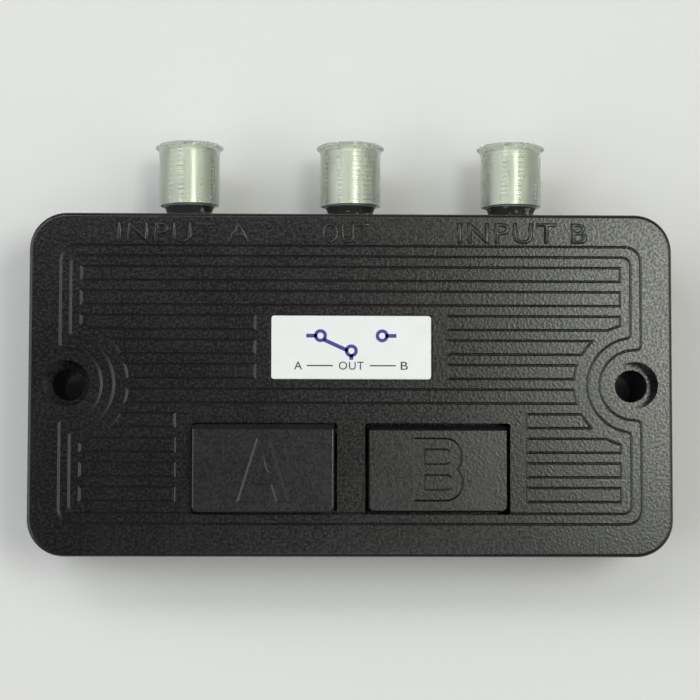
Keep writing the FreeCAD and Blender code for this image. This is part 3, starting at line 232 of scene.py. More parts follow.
class Effect(Enum):
    """The effects that several finishes share, each a node group."""

    GRAIN = "spark_grain"
    # The edge mask lightens edges partly as wear and partly as painted highlight.
    EDGES = "worn_and_lit_edges"
    DUST = "settled_dust"
    SCUFFS = "fine_scuffs"
    ROLLED = "rolled_sheet"
    SPANGLE = "plating_spangle"


@dataclass
class EffectShop:
    """Builds each shared effect once and places it where a finish asks for it."""

    made: dict[Effect, bpy.types.NodeTree] = field(default_factory=dict)

    def use(self, graph: Graph, effect: Effect, inputs: dict[str, Value]) -> Node:
        """Place an effect in a finish.

        Args:
            graph: the finish's node tree.
            effect: which effect.
            inputs: the finish's own values for it.

        Returns:
            The group node.
        """
        if effect not in self.made:
            self.made[effect] = self._build(effect)
        node = graph.tree.nodes.new("ShaderNodeGroup")
        node.node_tree = self.made[effect]
        for name, value in inputs.items():
            graph.put(node.inputs[name], value)
        return node

    def _build(self, effect: Effect) -> bpy.types.NodeTree:
        """Make the node group of one effect.

        Args:
            effect: which effect.

        Returns:
            The finished group.
        """
        makers: dict[Effect, Callable[[Graph], None]] = {
            Effect.GRAIN: self._grain, Effect.EDGES: self._edges, Effect.DUST: self._dust,
            Effect.SCUFFS: self._scuffs, Effect.ROLLED: self._rolled, Effect.SPANGLE: self._spangle,
        }
        tree = bpy.data.node_groups.new(effect.value, "ShaderNodeTree")
        makers[effect](Graph(tree))
        return tree

    @staticmethod
    def _sockets(graph: Graph, inputs: dict[str, float], outputs: dict[str, str]) -> tuple[Node, Node]:
        """Give a group its sockets and its two end nodes.

        Args:
            graph: the group's tree.
            inputs: default of each number that goes in.
            outputs: socket type of each result.

        Returns:
            The group's input node and output node.
        """
        interface = graph.tree.interface
        for name, default in inputs.items():
            socket = interface.new_socket(name, in_out="INPUT", socket_type=NUMBER)
            socket.default_value = default
        for name, kind in outputs.items():
            interface.new_socket(name, in_out="OUTPUT", socket_type=kind)
        return graph.tree.nodes.new("NodeGroupInput"), graph.tree.nodes.new("NodeGroupOutput")

    def _grain(self, graph: Graph) -> None:
        """Spark-eroded grain of moulded plastic: fine pits in soft clumps.

        Args:
            graph: the group's tree.
        """
        start, end = self._sockets(graph, {"Pitch": 0.3 * MM}, {"Height": NUMBER, "Tone": NUMBER})
        place = graph.place()
        density = graph.density(start.outputs["Pitch"])
        fine = graph.noise(place, density, detail=1.5)
        clump = graph.noise(place, graph.times(density, 0.4), detail=1.0)
        height = graph.math("ADD", graph.times(fine, 0.85), graph.times(clump, 0.15))
        graph.put(end.inputs["Height"], graph.remap(height, NOISE_SPAN))
        graph.put(end.inputs["Tone"], graph.remap(fine, NOISE_CORE))

    def _edges(self, graph: Graph) -> None:
        """Edges that a mould or a hand has rounded: a mask along them, which several finishes use to lighten
        edges partly as wear and partly as painted highlight, and the rounded normal.

        Args:
            graph: the group's tree.
        """
        start, end = self._sockets(graph, {"Radius": 0.2 * MM, "Breakup": 4.0 * MM},
                                   {"Mask": NUMBER, "Normal": VECTOR})
        rounded = graph.node("Bevel", {"Radius": start.outputs["Radius"]}, samples=6).outputs[0]
        flat = graph.node("NewGeometry", {}).outputs["Normal"]
        level = graph.node("VectorMath", {0: rounded, 1: flat}, operation="DOT_PRODUCT").outputs["Value"]
        turned = graph.remap(level, (0.995, 0.8))
        patchy = graph.noise(graph.place(), graph.density(start.outputs["Breakup"]), detail=4.0)
        mask = graph.times(turned, graph.remap(patchy, NOISE_CORE, (0.2, 1.0)))
        graph.put(end.inputs["Mask"], mask)
        graph.put(end.inputs["Normal"], rounded)

    def _dust(self, graph: Graph) -> None:
        """Thin patchy dust with scattered specks, thicker on what faces up.

        Args:
            graph: the group's tree.
        """
        start, end = self._sockets(graph, {"Patch": 12.0 * MM, "Speck": 0.7 * MM}, {"Mask": NUMBER})
        place = graph.place()
        patches = graph.noise(place, graph.density(start.outputs["Patch"]), detail=5.0, roughness=0.6)
        film = graph.remap(patches, (0.42, 0.72), (0.0, 0.45))
        density = graph.density(start.outputs["Speck"])
        cells = graph.node("TexVoronoi", {"Vector": place, "Scale": density}).outputs
        chosen = graph.node("SeparateColor", {0: cells["Color"]}).outputs[0]
        specks = graph.times(graph.remap(cells["Distance"], (0.16, 0.08)), graph.remap(chosen, (0.93, 0.96)))
        settled = graph.math("ADD", film, specks, clamp=True)
        facing = graph.node("TexCoord", {}).outputs["Normal"]
        upward = graph.remap(graph.axis(facing, 2), UNIT, (0.35, 1.0))
        graph.put(end.inputs["Mask"], graph.times(settled, upward))

    def _scuffs(self, graph: Graph) -> None:
        """Short hairline scuffs in two directions.

        Args:
            graph: the group's tree.
        """
        start, end = self._sockets(graph, {"Length": 6.0 * MM}, {"Mask": NUMBER})
        place = graph.place()
        density = graph.density(start.outputs["Length"])
        lines = []
        for turn, narrow in ((24.0, 26.0), (-58.0, 34.0)):
            along = graph.stretched(place, (1.0, narrow, narrow), turn)
            lines.append(graph.remap(graph.noise(along, density, detail=1.0), (0.665, 0.72)))
        graph.put(end.inputs["Mask"], graph.math("MAXIMUM", lines[0], lines[1]))

    def _rolled(self, graph: Graph) -> None:
        """Rolling marks of sheet metal along X.

        Args:
            graph: the group's tree.
        """
        start, end = self._sockets(graph, {"Width": 0.1 * MM}, {"Height": NUMBER})
        along = graph.stretched(graph.place(), (0.02, 1.0, 1.0))
        marks = graph.noise(along, graph.density(start.outputs["Width"]), detail=3.0, roughness=0.7)
        graph.put(end.inputs["Height"], marks)

    def _spangle(self, graph: Graph) -> None:
        """Cloudy crystals of plated metal.

        Args:
            graph: the group's tree.
        """
        start, end = self._sockets(graph, {"Size": 1.2 * MM}, {"Tone": NUMBER, "Tint": NUMBER})
        place = graph.place()
        density = graph.density(start.outputs["Size"])
        swirl = graph.node("TexNoise", {"Vector": place, "Scale": density}).outputs[1]
        bend = (0.4 * MM, 0.4 * MM, 0.4 * MM)
        bent = graph.node("VectorMath", {0: swirl, 1: bend}, operation="MULTIPLY").outputs[0]
        moved = graph.node("VectorMath", {0: place, 1: bent}, operation="ADD").outputs[0]
        cells = graph.node("TexVoronoi", {"Vector": moved, "Scale": density})
        graph.put(end.inputs["Tone"], graph.node("SeparateColor", {0: cells.outputs["Color"]}).outputs[0])
        graph.put(end.inputs["Tint"], graph.noise(place, graph.times(density, 0.2), detail=3.0))


EFFECTS = EffectShop()


# ---- finishes
def toned(colour: Colour, share: float) -> Colour:
    """Darken or brighten a colour, up to 1 in each channel."""
    return tuple(min(1.0, share * c) for c in colour)


@dataclass(frozen=True)
class Finish:
    """What every finish has: its name, its colour and how matt it is."""

    name: str
    colour: Colour
    roughness: float

    def material(self) -> bpy.types.Material:
        """Build the material.

        Returns:
            The finished material.
        """
        made = bpy.data.materials.new(self.name)
        made.use_nodes = True
        made.diffuse_color = (*self.colour, 1.0)
        graph = Graph(made.node_tree)
        graph.node("OutputMaterial", {"Surface": self.surface(graph)})
        return made

    def surface(self, graph: Graph) -> Socket:
        """Wire the surface shader; each kind of finish has its own.

        Args:
            graph: the material's node tree.

        Returns:
            Its shader.
        """
        raise NotImplementedError


@dataclass(frozen=True)
class Plastic(Finish):
    """Moulded plastic with a grain, edges lightened partly by wear and partly as painted highlight, faint
    scuffs and dust.
    """

    pitch: float = 0.45 * MM
    depth: float = 0.03 * MM
    grain_strength: float = 0.35
    pit_dullness: float = 0.06
    edge_radius: float = 0.14 * MM
    # Share and colour of the lighter edges, partly wear and partly painted highlight along the rounded rims.
    edge_wear_and_highlight: float = 0.25
    edge_wear_highlight_colour: Colour = (0.12, 0.12, 0.12)
    dust: float = 0.02
    dust_colour: Colour = (0.36, 0.34, 0.31)
    tones: Span = (0.85, 1.15)
    scuff_shine: float = 0.02
    dust_dullness: float = 0.04
    lean: float = 0.0

    def surface(self, graph: Graph) -> Socket:
        """Wire grain, edges, dust and scuffs into one Principled shader.

        Args:
            graph: the material's node tree.

        Returns:
            Its shader.
        """
        grain = EFFECTS.use(graph, Effect.GRAIN, {"Pitch": self.pitch})
        edges = EFFECTS.use(graph, Effect.EDGES, {"Radius": self.edge_radius})
        dust = EFFECTS.use(graph, Effect.DUST, {})
        scuffs = EFFECTS.use(graph, Effect.SCUFFS, {})
        deep, pale = (toned(self.colour, tone) for tone in self.tones)
        colour = graph.mix(grain.outputs["Tone"], deep, pale)
        # Lighter edges: partly wear, partly painted highlight along the rounded rims.
        colour = graph.mix(graph.times(edges.outputs["Mask"], self.edge_wear_and_highlight), colour, self.edge_wear_highlight_colour)
        colour = graph.mix(graph.times(dust.outputs["Mask"], self.dust), colour, self.dust_colour)
        rough = graph.remap(grain.outputs["Tone"], UNIT, (self.roughness + self.pit_dullness, self.roughness))
        shine = graph.times(scuffs.outputs["Mask"], self.scuff_shine)
        dull = graph.times(dust.outputs["Mask"], self.dust_dullness)
        rough = graph.math("ADD", graph.math("SUBTRACT", rough, shine), dull, clamp=True)
        normal = edges.outputs["Normal"]
        if self.lean:
            across = graph.math("ABSOLUTE", graph.axis(graph.place(), 0))
            normal = graph.bump(graph.times(across, -self.lean), 1.0, 1.0, normal)
        normal = graph.bump(grain.outputs["Height"], self.grain_strength, self.depth, normal)
        return graph.coat({"Base Color": colour, "Roughness": rough, "Normal": normal})


@dataclass(frozen=True)
class Metal(Finish):
    """Plated, rolled or turned metal."""

    tint: Colour = (0.5, 0.5, 0.5)
    spangle: float = 1.2 * MM
    cloud: float = 0.25
    rolled: float = 0.0
    edge_radius: float = 0.08 * MM
    dull: float = 0.15
    stain: float = 0.3
    stain_tone: float = 0.6
    edge_tone: float = 1.15
    scuff_dullness: float = 0.12
    rolled_depth: float = 0.01 * MM
    # Painted shade along a band in Y (the port's neck beside the case wall): its span, fade, colour and the
    # scale of the spots where it breaks off.
    neck_shade: Span = (0.0, 0.0)
    neck_shade_fade: float = 0.1 * MM
    neck_shade_colour: Colour = (0.07, 0.075, 0.07)
    shade_break_spots: float = 700.0

    def surface(self, graph: Graph) -> Socket:
        """Wire plating clouds, rolling marks, edges lightened partly by wear and partly as painted highlight,
        and painted shade on the neck into one Principled shader.

        Args:
            graph: the material's node tree.

        Returns:
            Its shader.
        """
        cells = EFFECTS.use(graph, Effect.SPANGLE, {"Size": self.spangle})
        sheet = EFFECTS.use(graph, Effect.ROLLED, {})
        edges = EFFECTS.use(graph, Effect.EDGES, {"Radius": self.edge_radius})
        scuffs = EFFECTS.use(graph, Effect.SCUFFS, {"Length": 3.0 * MM})
        clouds = graph.times(cells.outputs["Tone"], self.cloud)
        colour = graph.mix(clouds, self.colour, self.tint)
        stain = graph.remap(cells.outputs["Tint"], (0.5, 0.75), (0.0, self.stain))
        colour = graph.mix(stain, colour, toned(self.tint, self.stain_tone))
        # Brighter edges: partly rubbed wear, partly painted highlight.
        colour = graph.mix(edges.outputs["Mask"], colour, toned(self.colour, self.edge_tone))
        # Painted shade: a darker band on the port's neck beside the case wall, broken by a few spots.
        if self.neck_shade[1] > self.neck_shade[0]:
            colour = graph.mix(self.neck_shade_mask(graph), colour, self.neck_shade_colour)
        rough = graph.remap(cells.outputs["Tint"], NOISE_SPAN, (self.roughness, self.roughness + self.dull))
        scuffed = graph.times(scuffs.outputs["Mask"], self.scuff_dullness)
        rough = graph.math("ADD", rough, scuffed, clamp=True)
        normal = graph.bump(sheet.outputs["Height"], self.rolled, self.rolled_depth, edges.outputs["Normal"])
        return graph.coat({"Base Color": colour, "Metallic": 1.0, "Roughness": rough, "Normal": normal})

    def neck_shade_mask(self, graph: Graph) -> Socket:
        """Mask the band along Y that takes painted shade, with a few spots where the painted shade breaks
        off.

        Args:
            graph: the material's node tree.

        Returns:
            The mask.
        """
        low, high = self.neck_shade
        place = graph.place()
        along = graph.axis(place, 1)
        band = graph.times(graph.remap(along, (low, low + self.neck_shade_fade)),
                           graph.remap(along, (high - self.neck_shade_fade, high), (1.0, 0.0)))
        # Spots where the painted shade breaks off and the plain metal colour shows.
        shade_breaks = graph.remap(graph.noise(place, self.shade_break_spots), (0.62, 0.7), (1.0, 0.2))
        return graph.times(band, shade_breaks)


@dataclass(frozen=True)
class ClearVinyl(Finish):
    """Thin soft vinyl: nearly clear, slightly milky, wavy from dipping."""

    wave: float = 1.3 * MM
    wave_height: float = 0.12 * MM
    ripple: float = 0.35
    wave_dullness: float = 0.08
    milk: float = 0.9
    shadow_tint: Colour = (0.93, 0.94, 0.9)

    def surface(self, graph: Graph) -> Socket:
        """Wire a clear shader that lets lamps shine through.

        Args:
            graph: the material's node tree.

        Returns:
            Its shader.
        """
        place = graph.place()
        along = graph.stretched(place, (1.0, 0.08, 1.0))
        waves = graph.noise(along, 1.0 / self.wave)
        film = EFFECTS.use(graph, Effect.DUST, {"Patch": 6.0 * MM})
        colour = graph.mix(film.outputs["Mask"], self.colour, toned(self.colour, self.milk))
        rough = graph.remap(waves, NOISE_SPAN, (self.roughness, self.roughness + self.wave_dullness))
        normal = graph.bump(waves, self.ripple, self.wave_height)
        clear = graph.coat({"Base Color": colour, "Roughness": rough, "Normal": normal, "IOR": 1.25,
                            "Transmission Weight": 0.96, "Coat Weight": 0.5, "Coat Roughness": 0.16})
        lamps = graph.node("BsdfTransparent", {"Color": self.shadow_tint})
        shadow = graph.node("LightPath", {}).outputs["Is Shadow Ray"]
        return graph.node("MixShader", {0: shadow, 1: clear, 2: lamps.outputs[0]}).outputs[0]


@dataclass(frozen=True)
class Laminate(Finish):
    """Brown paper-based board: pressed fibres under a resin skin."""

    fibre: Colour = (0.5, 0.34, 0.15)
    edge_colour: Colour = (0.6, 0.45, 0.25)
    fibre_height: float = 0.02 * MM
    fibres: float = 900.0
    mottle: float = 120.0

    def surface(self, graph: Graph) -> Socket:
        """Wire fibres and a satin skin.

        Args:
            graph: the material's node tree.

        Returns:
            Its shader.
        """
        place = graph.place()
        along = graph.stretched(place, (1.0, 6.0, 6.0), 12.0)
        fibres = graph.noise(along, self.fibres, detail=4.0, roughness=0.7)
        mottle = graph.noise(place, self.mottle, detail=3.0)
        edges = EFFECTS.use(graph, Effect.EDGES, {})
        share = graph.remap(graph.math("ADD", fibres, mottle), (0.8, 1.25), (0.0, 0.8))
        colour = graph.mix(share, self.colour, self.fibre)
        colour = graph.mix(graph.times(edges.outputs["Mask"], 0.4), colour, self.edge_colour)
        normal = graph.bump(fibres, 0.15, self.fibre_height, edges.outputs["Normal"])
        rough = graph.remap(mottle, NOISE_SPAN, (self.roughness, self.roughness + 0.12))
        return graph.coat({"Base Color": colour, "Roughness": rough, "Normal": normal})


@dataclass(frozen=True)
class BandedLoad(Finish):
    """Lacquered resistor bodies with colour bands, and bare leads past their ends."""

    bands: tuple[tuple[float, Colour], ...] = ((-1.75, (0.09, 0.02, 0.2)), (-0.95, (0.02, 0.2, 0.04)),
                                               (-0.15, (0.01, 0.01, 0.01)), (1.55, (0.55, 0.38, 0.08)))
    band_half: float = 0.22 * MM
    body_half: float = 2.5 * MM
    centre: float = 16.0 * MM
    lead_colour: Colour = (0.62, 0.62, 0.6)
    speckle_colour: Colour = (0.9, 0.85, 0.7)
    speckles: float = 2200.0
    speckle_height: float = 0.02 * MM

    def surface(self, graph: Graph) -> Socket:
        """Wire the bands by their place along the body, the same on both resistors.

        Args:
            graph: the material's node tree.

        Returns:
            Its shader.
        """
        place = graph.place()
        side = graph.math("SUBTRACT", graph.math("ABSOLUTE", graph.axis(place, 0)), self.centre)
        colour: Value = self.colour
        for middle, tone in self.bands:
            off = graph.math("ABSOLUTE", graph.math("SUBTRACT", side, middle * MM))
            inside = graph.remap(off, (self.band_half * 1.1, self.band_half * 0.9))
            colour = graph.mix(inside, colour, tone)
        bare = graph.math("GREATER_THAN", graph.math("ABSOLUTE", side), self.body_half)
        colour = graph.mix(bare, colour, self.lead_colour)
        speckle = graph.noise(place, self.speckles)
        edges = EFFECTS.use(graph, Effect.EDGES, {})
        colour = graph.mix(graph.remap(speckle, (0.4, 0.8), (0.0, 0.25)), colour, self.speckle_colour)
        normal = graph.bump(speckle, 0.1, self.speckle_height, edges.outputs["Normal"])
        return graph.coat({"Base Color": colour, "Roughness": self.roughness, "Metallic": bare,
                           "Normal": normal, "Coat Weight": 0.3})


@dataclass(frozen=True)
class SatinPlate(Finish):
    """White printed plate: smooth lacquer over card-like plastic, a little yellowed at the rim."""

    rim_colour: Colour = (0.7, 0.7, 0.62)
    mottle_colour: Colour = (0.76, 0.79, 0.78)
    dust_colour: Colour = (0.5, 0.48, 0.42)
    dust: float = 0.12
    mottle: float = 260.0
    fine: float = 5200.0
    fine_height: float = 0.01 * MM

    def surface(self, graph: Graph) -> Socket:
        """Wire the faint mottle, dust and worn rim.

        Args:
            graph: the material's node tree.

        Returns:
            Its shader.
        """
        place = graph.place()
        mottle = graph.noise(place, self.mottle, detail=4.0)
        fine = graph.noise(place, self.fine)
        edges = EFFECTS.use(graph, Effect.EDGES, {"Radius": 0.25 * MM, "Breakup": 2.0 * MM})
        dust = EFFECTS.use(graph, Effect.DUST, {"Patch": 5.0 * MM, "Speck": 0.5 * MM})
        colour = graph.mix(graph.remap(mottle, (0.35, 0.7), (0.0, 0.35)), self.colour, self.mottle_colour)
        colour = graph.mix(edges.outputs["Mask"], colour, self.rim_colour)
        colour = graph.mix(graph.times(dust.outputs["Mask"], self.dust), colour, self.dust_colour)
        rough = graph.remap(mottle, NOISE_SPAN, (self.roughness, self.roughness + 0.1))
        normal = graph.bump(fine, 0.08, self.fine_height, edges.outputs["Normal"])
        return graph.coat({"Base Color": colour, "Roughness": rough, "Normal": normal})


@dataclass(frozen=True)
class Ink(Finish):
    """Screen-printed ink with slightly uneven cover."""

    cover: float = 3800.0

    def surface(self, graph: Graph) -> Socket:
        """Wire the uneven cover.

        Args:
            graph: the material's node tree.

        Returns:
            Its shader.
        """
        cover = graph.noise(graph.place(), self.cover, detail=3.0, roughness=0.6)
        paler = tuple(0.7 * c + 0.12 for c in self.colour)
        colour = graph.mix(graph.remap(cover, (0.5, 0.75), (0.0, 0.5)), self.colour, paler)
        rough = graph.remap(cover, NOISE_SPAN, (self.roughness, self.roughness + 0.15))
        return graph.coat({"Base Color": colour, "Roughness": rough})


class Slot(Enum):
    """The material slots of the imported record."""

    CASE = "case_black"
    KEY = "key_black"
    LABEL = "label_white"
    SCREW = "screw_steel"
    CHASSIS = "chassis_steel"
    TINPLATE = "tinplate"
    NICKEL = "port_nickel"
    INSULATOR = "insulator_white"
    BRASS = "contact_brass"
    SPRING = "spring_steel"
    LAMINATE = "board_laminate"
    COPPER = "copper"
    SOLDER = "solder"
    LOAD = "resistor_ceramic"
    ACETAL = "slider_acetal"
    INNER = "inner_black"
    CAP = "cap_clear"


FINISHES: dict[Slot, Finish] = {
    Slot.CASE: Plastic("case_black_grain", (0.0044, 0.005, 0.0048), 0.185, depth=0.011 * MM,
                       grain_strength=1.0, pit_dullness=0.12, edge_radius=0.03 * MM),
    Slot.KEY: Plastic("key_black_satin", (0.0075, 0.0082, 0.0084), 0.22, depth=0.012 * MM,
                      grain_strength=1.0, pit_dullness=0.1, edge_radius=0.04 * MM, lean=0.012),
    Slot.LABEL: SatinPlate("label_white_lacquer", (0.84, 0.87, 0.86), 0.35),
    Slot.SCREW: Metal("screw_zinc", (0.62, 0.63, 0.64), 0.28, tint=(0.42, 0.44, 0.4)),
    Slot.CHASSIS: Metal("chassis_zinc_sheet", (0.6, 0.61, 0.6), 0.32, tint=(0.42, 0.43, 0.36), rolled=0.3),
    Slot.TINPLATE: Metal("tinned_sheet", (0.72, 0.72, 0.7), 0.2, tint=(0.52, 0.53, 0.53), spangle=2.5 * MM,
                         rolled=0.25),
    # The nickel's neck band takes painted shade.
    Slot.NICKEL: Metal("dull_nickel", (0.58, 0.6, 0.55), 0.42, tint=(0.38, 0.41, 0.36), spangle=0.8 * MM,
                       edge_radius=0.04 * MM, dull=0.1, neck_shade=(26.0 * MM, 30.2 * MM)),
    Slot.INSULATOR: Plastic("milky_insulator", (0.8, 0.8, 0.74), 0.45, pitch=0.2 * MM, grain_strength=0.08,
                            edge_wear_highlight_colour=(0.9, 0.9, 0.86)),
    Slot.BRASS: Metal("contact_brass_turned", (0.78, 0.58, 0.27), 0.24, tint=(0.55, 0.36, 0.14)),
    Slot.SPRING: Metal("spring_bright", (0.5, 0.5, 0.51), 0.22, tint=(0.34, 0.33, 0.3), rolled=0.35),
    Slot.LAMINATE: Laminate("brown_laminate", (0.26, 0.13, 0.045), 0.4),
    Slot.COPPER: Metal("copper_lacquered", (0.72, 0.38, 0.22), 0.3, tint=(0.45, 0.2, 0.1)),
    Slot.SOLDER: Metal("solder_frosted", (0.62, 0.63, 0.65), 0.3, tint=(0.42, 0.43, 0.45), spangle=0.4 * MM),
    Slot.LOAD: BandedLoad("load_lacquer", (0.62, 0.47, 0.27), 0.35),
    Slot.ACETAL: Plastic("natural_acetal", (0.78, 0.77, 0.7), 0.38, pitch=0.25 * MM, grain_strength=0.1,
                         edge_wear_highlight_colour=(0.9, 0.9, 0.86)),
    Slot.INNER: Plastic("guide_black", (0.03, 0.03, 0.032), 0.5, pitch=0.22 * MM, grain_strength=0.15),
    Slot.CAP: ClearVinyl("cap_vinyl", (0.83, 0.86, 0.81), 0.24),
}
BLUE_INK = Ink("ink_blue", (0.03, 0.025, 0.3), 0.4)
BLACK_INK = Ink("ink_black", (0.015, 0.015, 0.018), 0.45)


@dataclass
class Dresser:
    """Gives CAD nodes and new pieces their finishes."""

    materials: dict[str, bpy.types.Material] = field(default_factory=dict)

    def get(self, finish: Finish) -> bpy.types.Material:
        """Build a finish's material on first use.

        Args:
            finish: the finish.

        Returns:
            Its material.
        """
        if finish.name not in self.materials:
            self.materials[finish.name] = finish.material()
        return self.materials[finish.name]

    def dress(self, names: Iterable[str], slot: Slot) -> None:
        """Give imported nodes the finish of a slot.

        Args:
            names: the nodes.
            slot: the slot whose finish they take.
        """
        for name in names:
            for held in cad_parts[name].material_slots:
                held.material = self.get(FINISHES[slot])
            LOG.info("dressed %s in %s", name, slot.value)

    def piece(self, name: str, mesh: bpy.types.Mesh, body: str, slot: Slot,
              finish: Optional[Finish] = None) -> bpy.types.Object:
        """Turn a finished mesh into a piece that rides on a body.

        Args:
            name: the piece's name.
            mesh: its mesh, already in place.
            body: the CAD body that it rides on.
            slot: the record's slot that it belongs to.
            finish: its finish, if not the slot's own.

        Returns:
            The new object.
        """
        mesh.materials.clear()
        mesh.materials.append(self.get(finish or FINISHES[slot]))
        made = bpy.data.objects.new(name, mesh)
        bpy.context.scene.collection.objects.link(made)
        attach(made, body)
        LOG.info("made %s on %s", name, body)
        return made


# ---- mesh helpers
def mesh_from(builder: BMesh, name: str, smooth: bool = False) -> bpy.types.Mesh:
    """Close a bmesh into a mesh.

    Args:
        builder: the bmesh, which is freed.
        name: the mesh's name.
        smooth: whether faces shade smoothly.

    Returns:
        The mesh.
    """
    mesh = bpy.data.meshes.new(name)
    for face in builder.faces:
        face.smooth = smooth
    builder.to_mesh(mesh)
    builder.free()
    return mesh


def plain_text(words: str, width: float, height: float, proud: float = 0.0) -> BMesh:
    """Set words in plain letters that fill a width and a height around the origin.

    Args:
        words: what they say.
        width: width over all letters.
        height: height of the capitals.
        proud: how far rounded strokes stand above and below z = 0; at 0 the letters are flat.

    Returns:
        The bmesh: closed rounded strokes, or flat faces that look up.
    """
    curve = bpy.data.curves.new(words, "FONT")
    curve.body = words
    curve.resolution_u = LETTER_STEPS
    curve.space_character = LETTER_SPACING
    if proud:
        curve.offset = -LETTER_THINNED
        curve.bevel_depth = LETTER_FLANK
        curve.bevel_resolution = LETTER_FLANK_STEPS
    holder = bpy.data.objects.new(words, curve)
    bpy.context.scene.collection.objects.link(holder)
    bpy.context.view_layer.update()
    flat = bpy.data.meshes.new_from_object(holder.evaluated_get(bpy.context.evaluated_depsgraph_get()))
    bpy.data.objects.remove(holder)
    builder = bmesh.new()
    builder.from_mesh(flat)
    bpy.data.meshes.remove(flat)
    bmesh.ops.remove_doubles(builder, verts=builder.verts, dist=LETTER_WELD)
    bmesh.ops.recalc_face_normals(builder, faces=builder.faces)
    if not proud and builder.faces[:][0].normal.z < 0:
        bmesh.ops.reverse_faces(builder, faces=builder.faces)
    low = Vector([min(v.co[k] for v in builder.verts) for k in range(3)])
    high = Vector([max(v.co[k] for v in builder.verts) for k in range(3)])
    size, middle = high - low, (high + low) / 2
    upright = 2 * proud / size.z if proud else 1.0
    fit = Matrix.Diagonal((width / size.x, height / size.y, upright, 1.0)) @ Matrix.Translation(-middle)
    bmesh.ops.transform(builder, matrix=fit, verts=builder.verts)
    return builder


def thicken(builder: BMesh, height: float) -> None:
    """Give flat faces that look up a thickness.

    Args:
        builder: the flat faces on z = 0, which become the underside.
        height: how thick they get.
    """
    grown = bmesh.ops.extrude_face_region(builder, geom=builder.faces[:])["geom"]
    bmesh.ops.translate(builder, vec=(0.0, 0.0, height),
                        verts=[item for item in grown if isinstance(item, bmesh.types.BMVert)])
    bmesh.ops.recalc_face_normals(builder, faces=builder.faces)


# ---- the object's sub-assemblies
@dataclass
class Assembly:
    """A sub-assembly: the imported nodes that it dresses, by slot, and pieces of its own."""

    dresser: Dresser
    nodes: ClassVar[dict[Slot, tuple[str, ...]]] = {}

    def build(self) -> None:
        """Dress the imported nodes, then add the assembly's own pieces."""
        for slot, names in self.nodes.items():
            self.dresser.dress(names, slot)
        self.add_pieces()

    def add_pieces(self) -> None:
        """Add the assembly's own pieces, where it has any."""


@dataclass(frozen=True)
class Legend:
    """One raised legend of the face: what it says and the width that it fills."""

    name: str
    words: str
    centre: float
    width: float


@dataclass
class CaseShells(Assembly):
    """The two covers, their screws and the raised legends over the ports."""

    nodes = {Slot.CASE: ("top_cover", "bottom_cover"), Slot.SCREW: ("cover_screws",)}
    legend_y: float = 24.65 * MM
    legend_height: float = 3.45 * MM
    legend_proud: float = 0.3 * MM
    legends: tuple[Legend, ...] = (
        Legend("legend_in_a", "INPUT A", -27.2 * MM, 21.6 * MM),
        Legend("legend_out", "OUT", -0.9 * MM, 7.8 * MM),
        Legend("legend_in_b", "INPUT B", 27.8 * MM, 21.2 * MM),
    )

    def add_pieces(self) -> None:
        """Add the legends."""
        for legend in self.legends:
            self.dresser.piece(legend.name, self.legend_mesh(legend), "case", Slot.CASE)

    def legend_mesh(self, legend: Legend) -> bpy.types.Mesh:
        """Raise one legend out of the face.

        Args:
            legend: what it says and where it stands.

        Returns:
            Its mesh, in place.
        """
        builder = plain_text(legend.words, legend.width, self.legend_height, self.legend_proud)
        place = Matrix.Translation((legend.centre, self.legend_y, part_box("top_cover")[1].z))
        bmesh.ops.transform(builder, matrix=place, verts=builder.verts)
        return mesh_from(builder, legend.name, smooth=True)


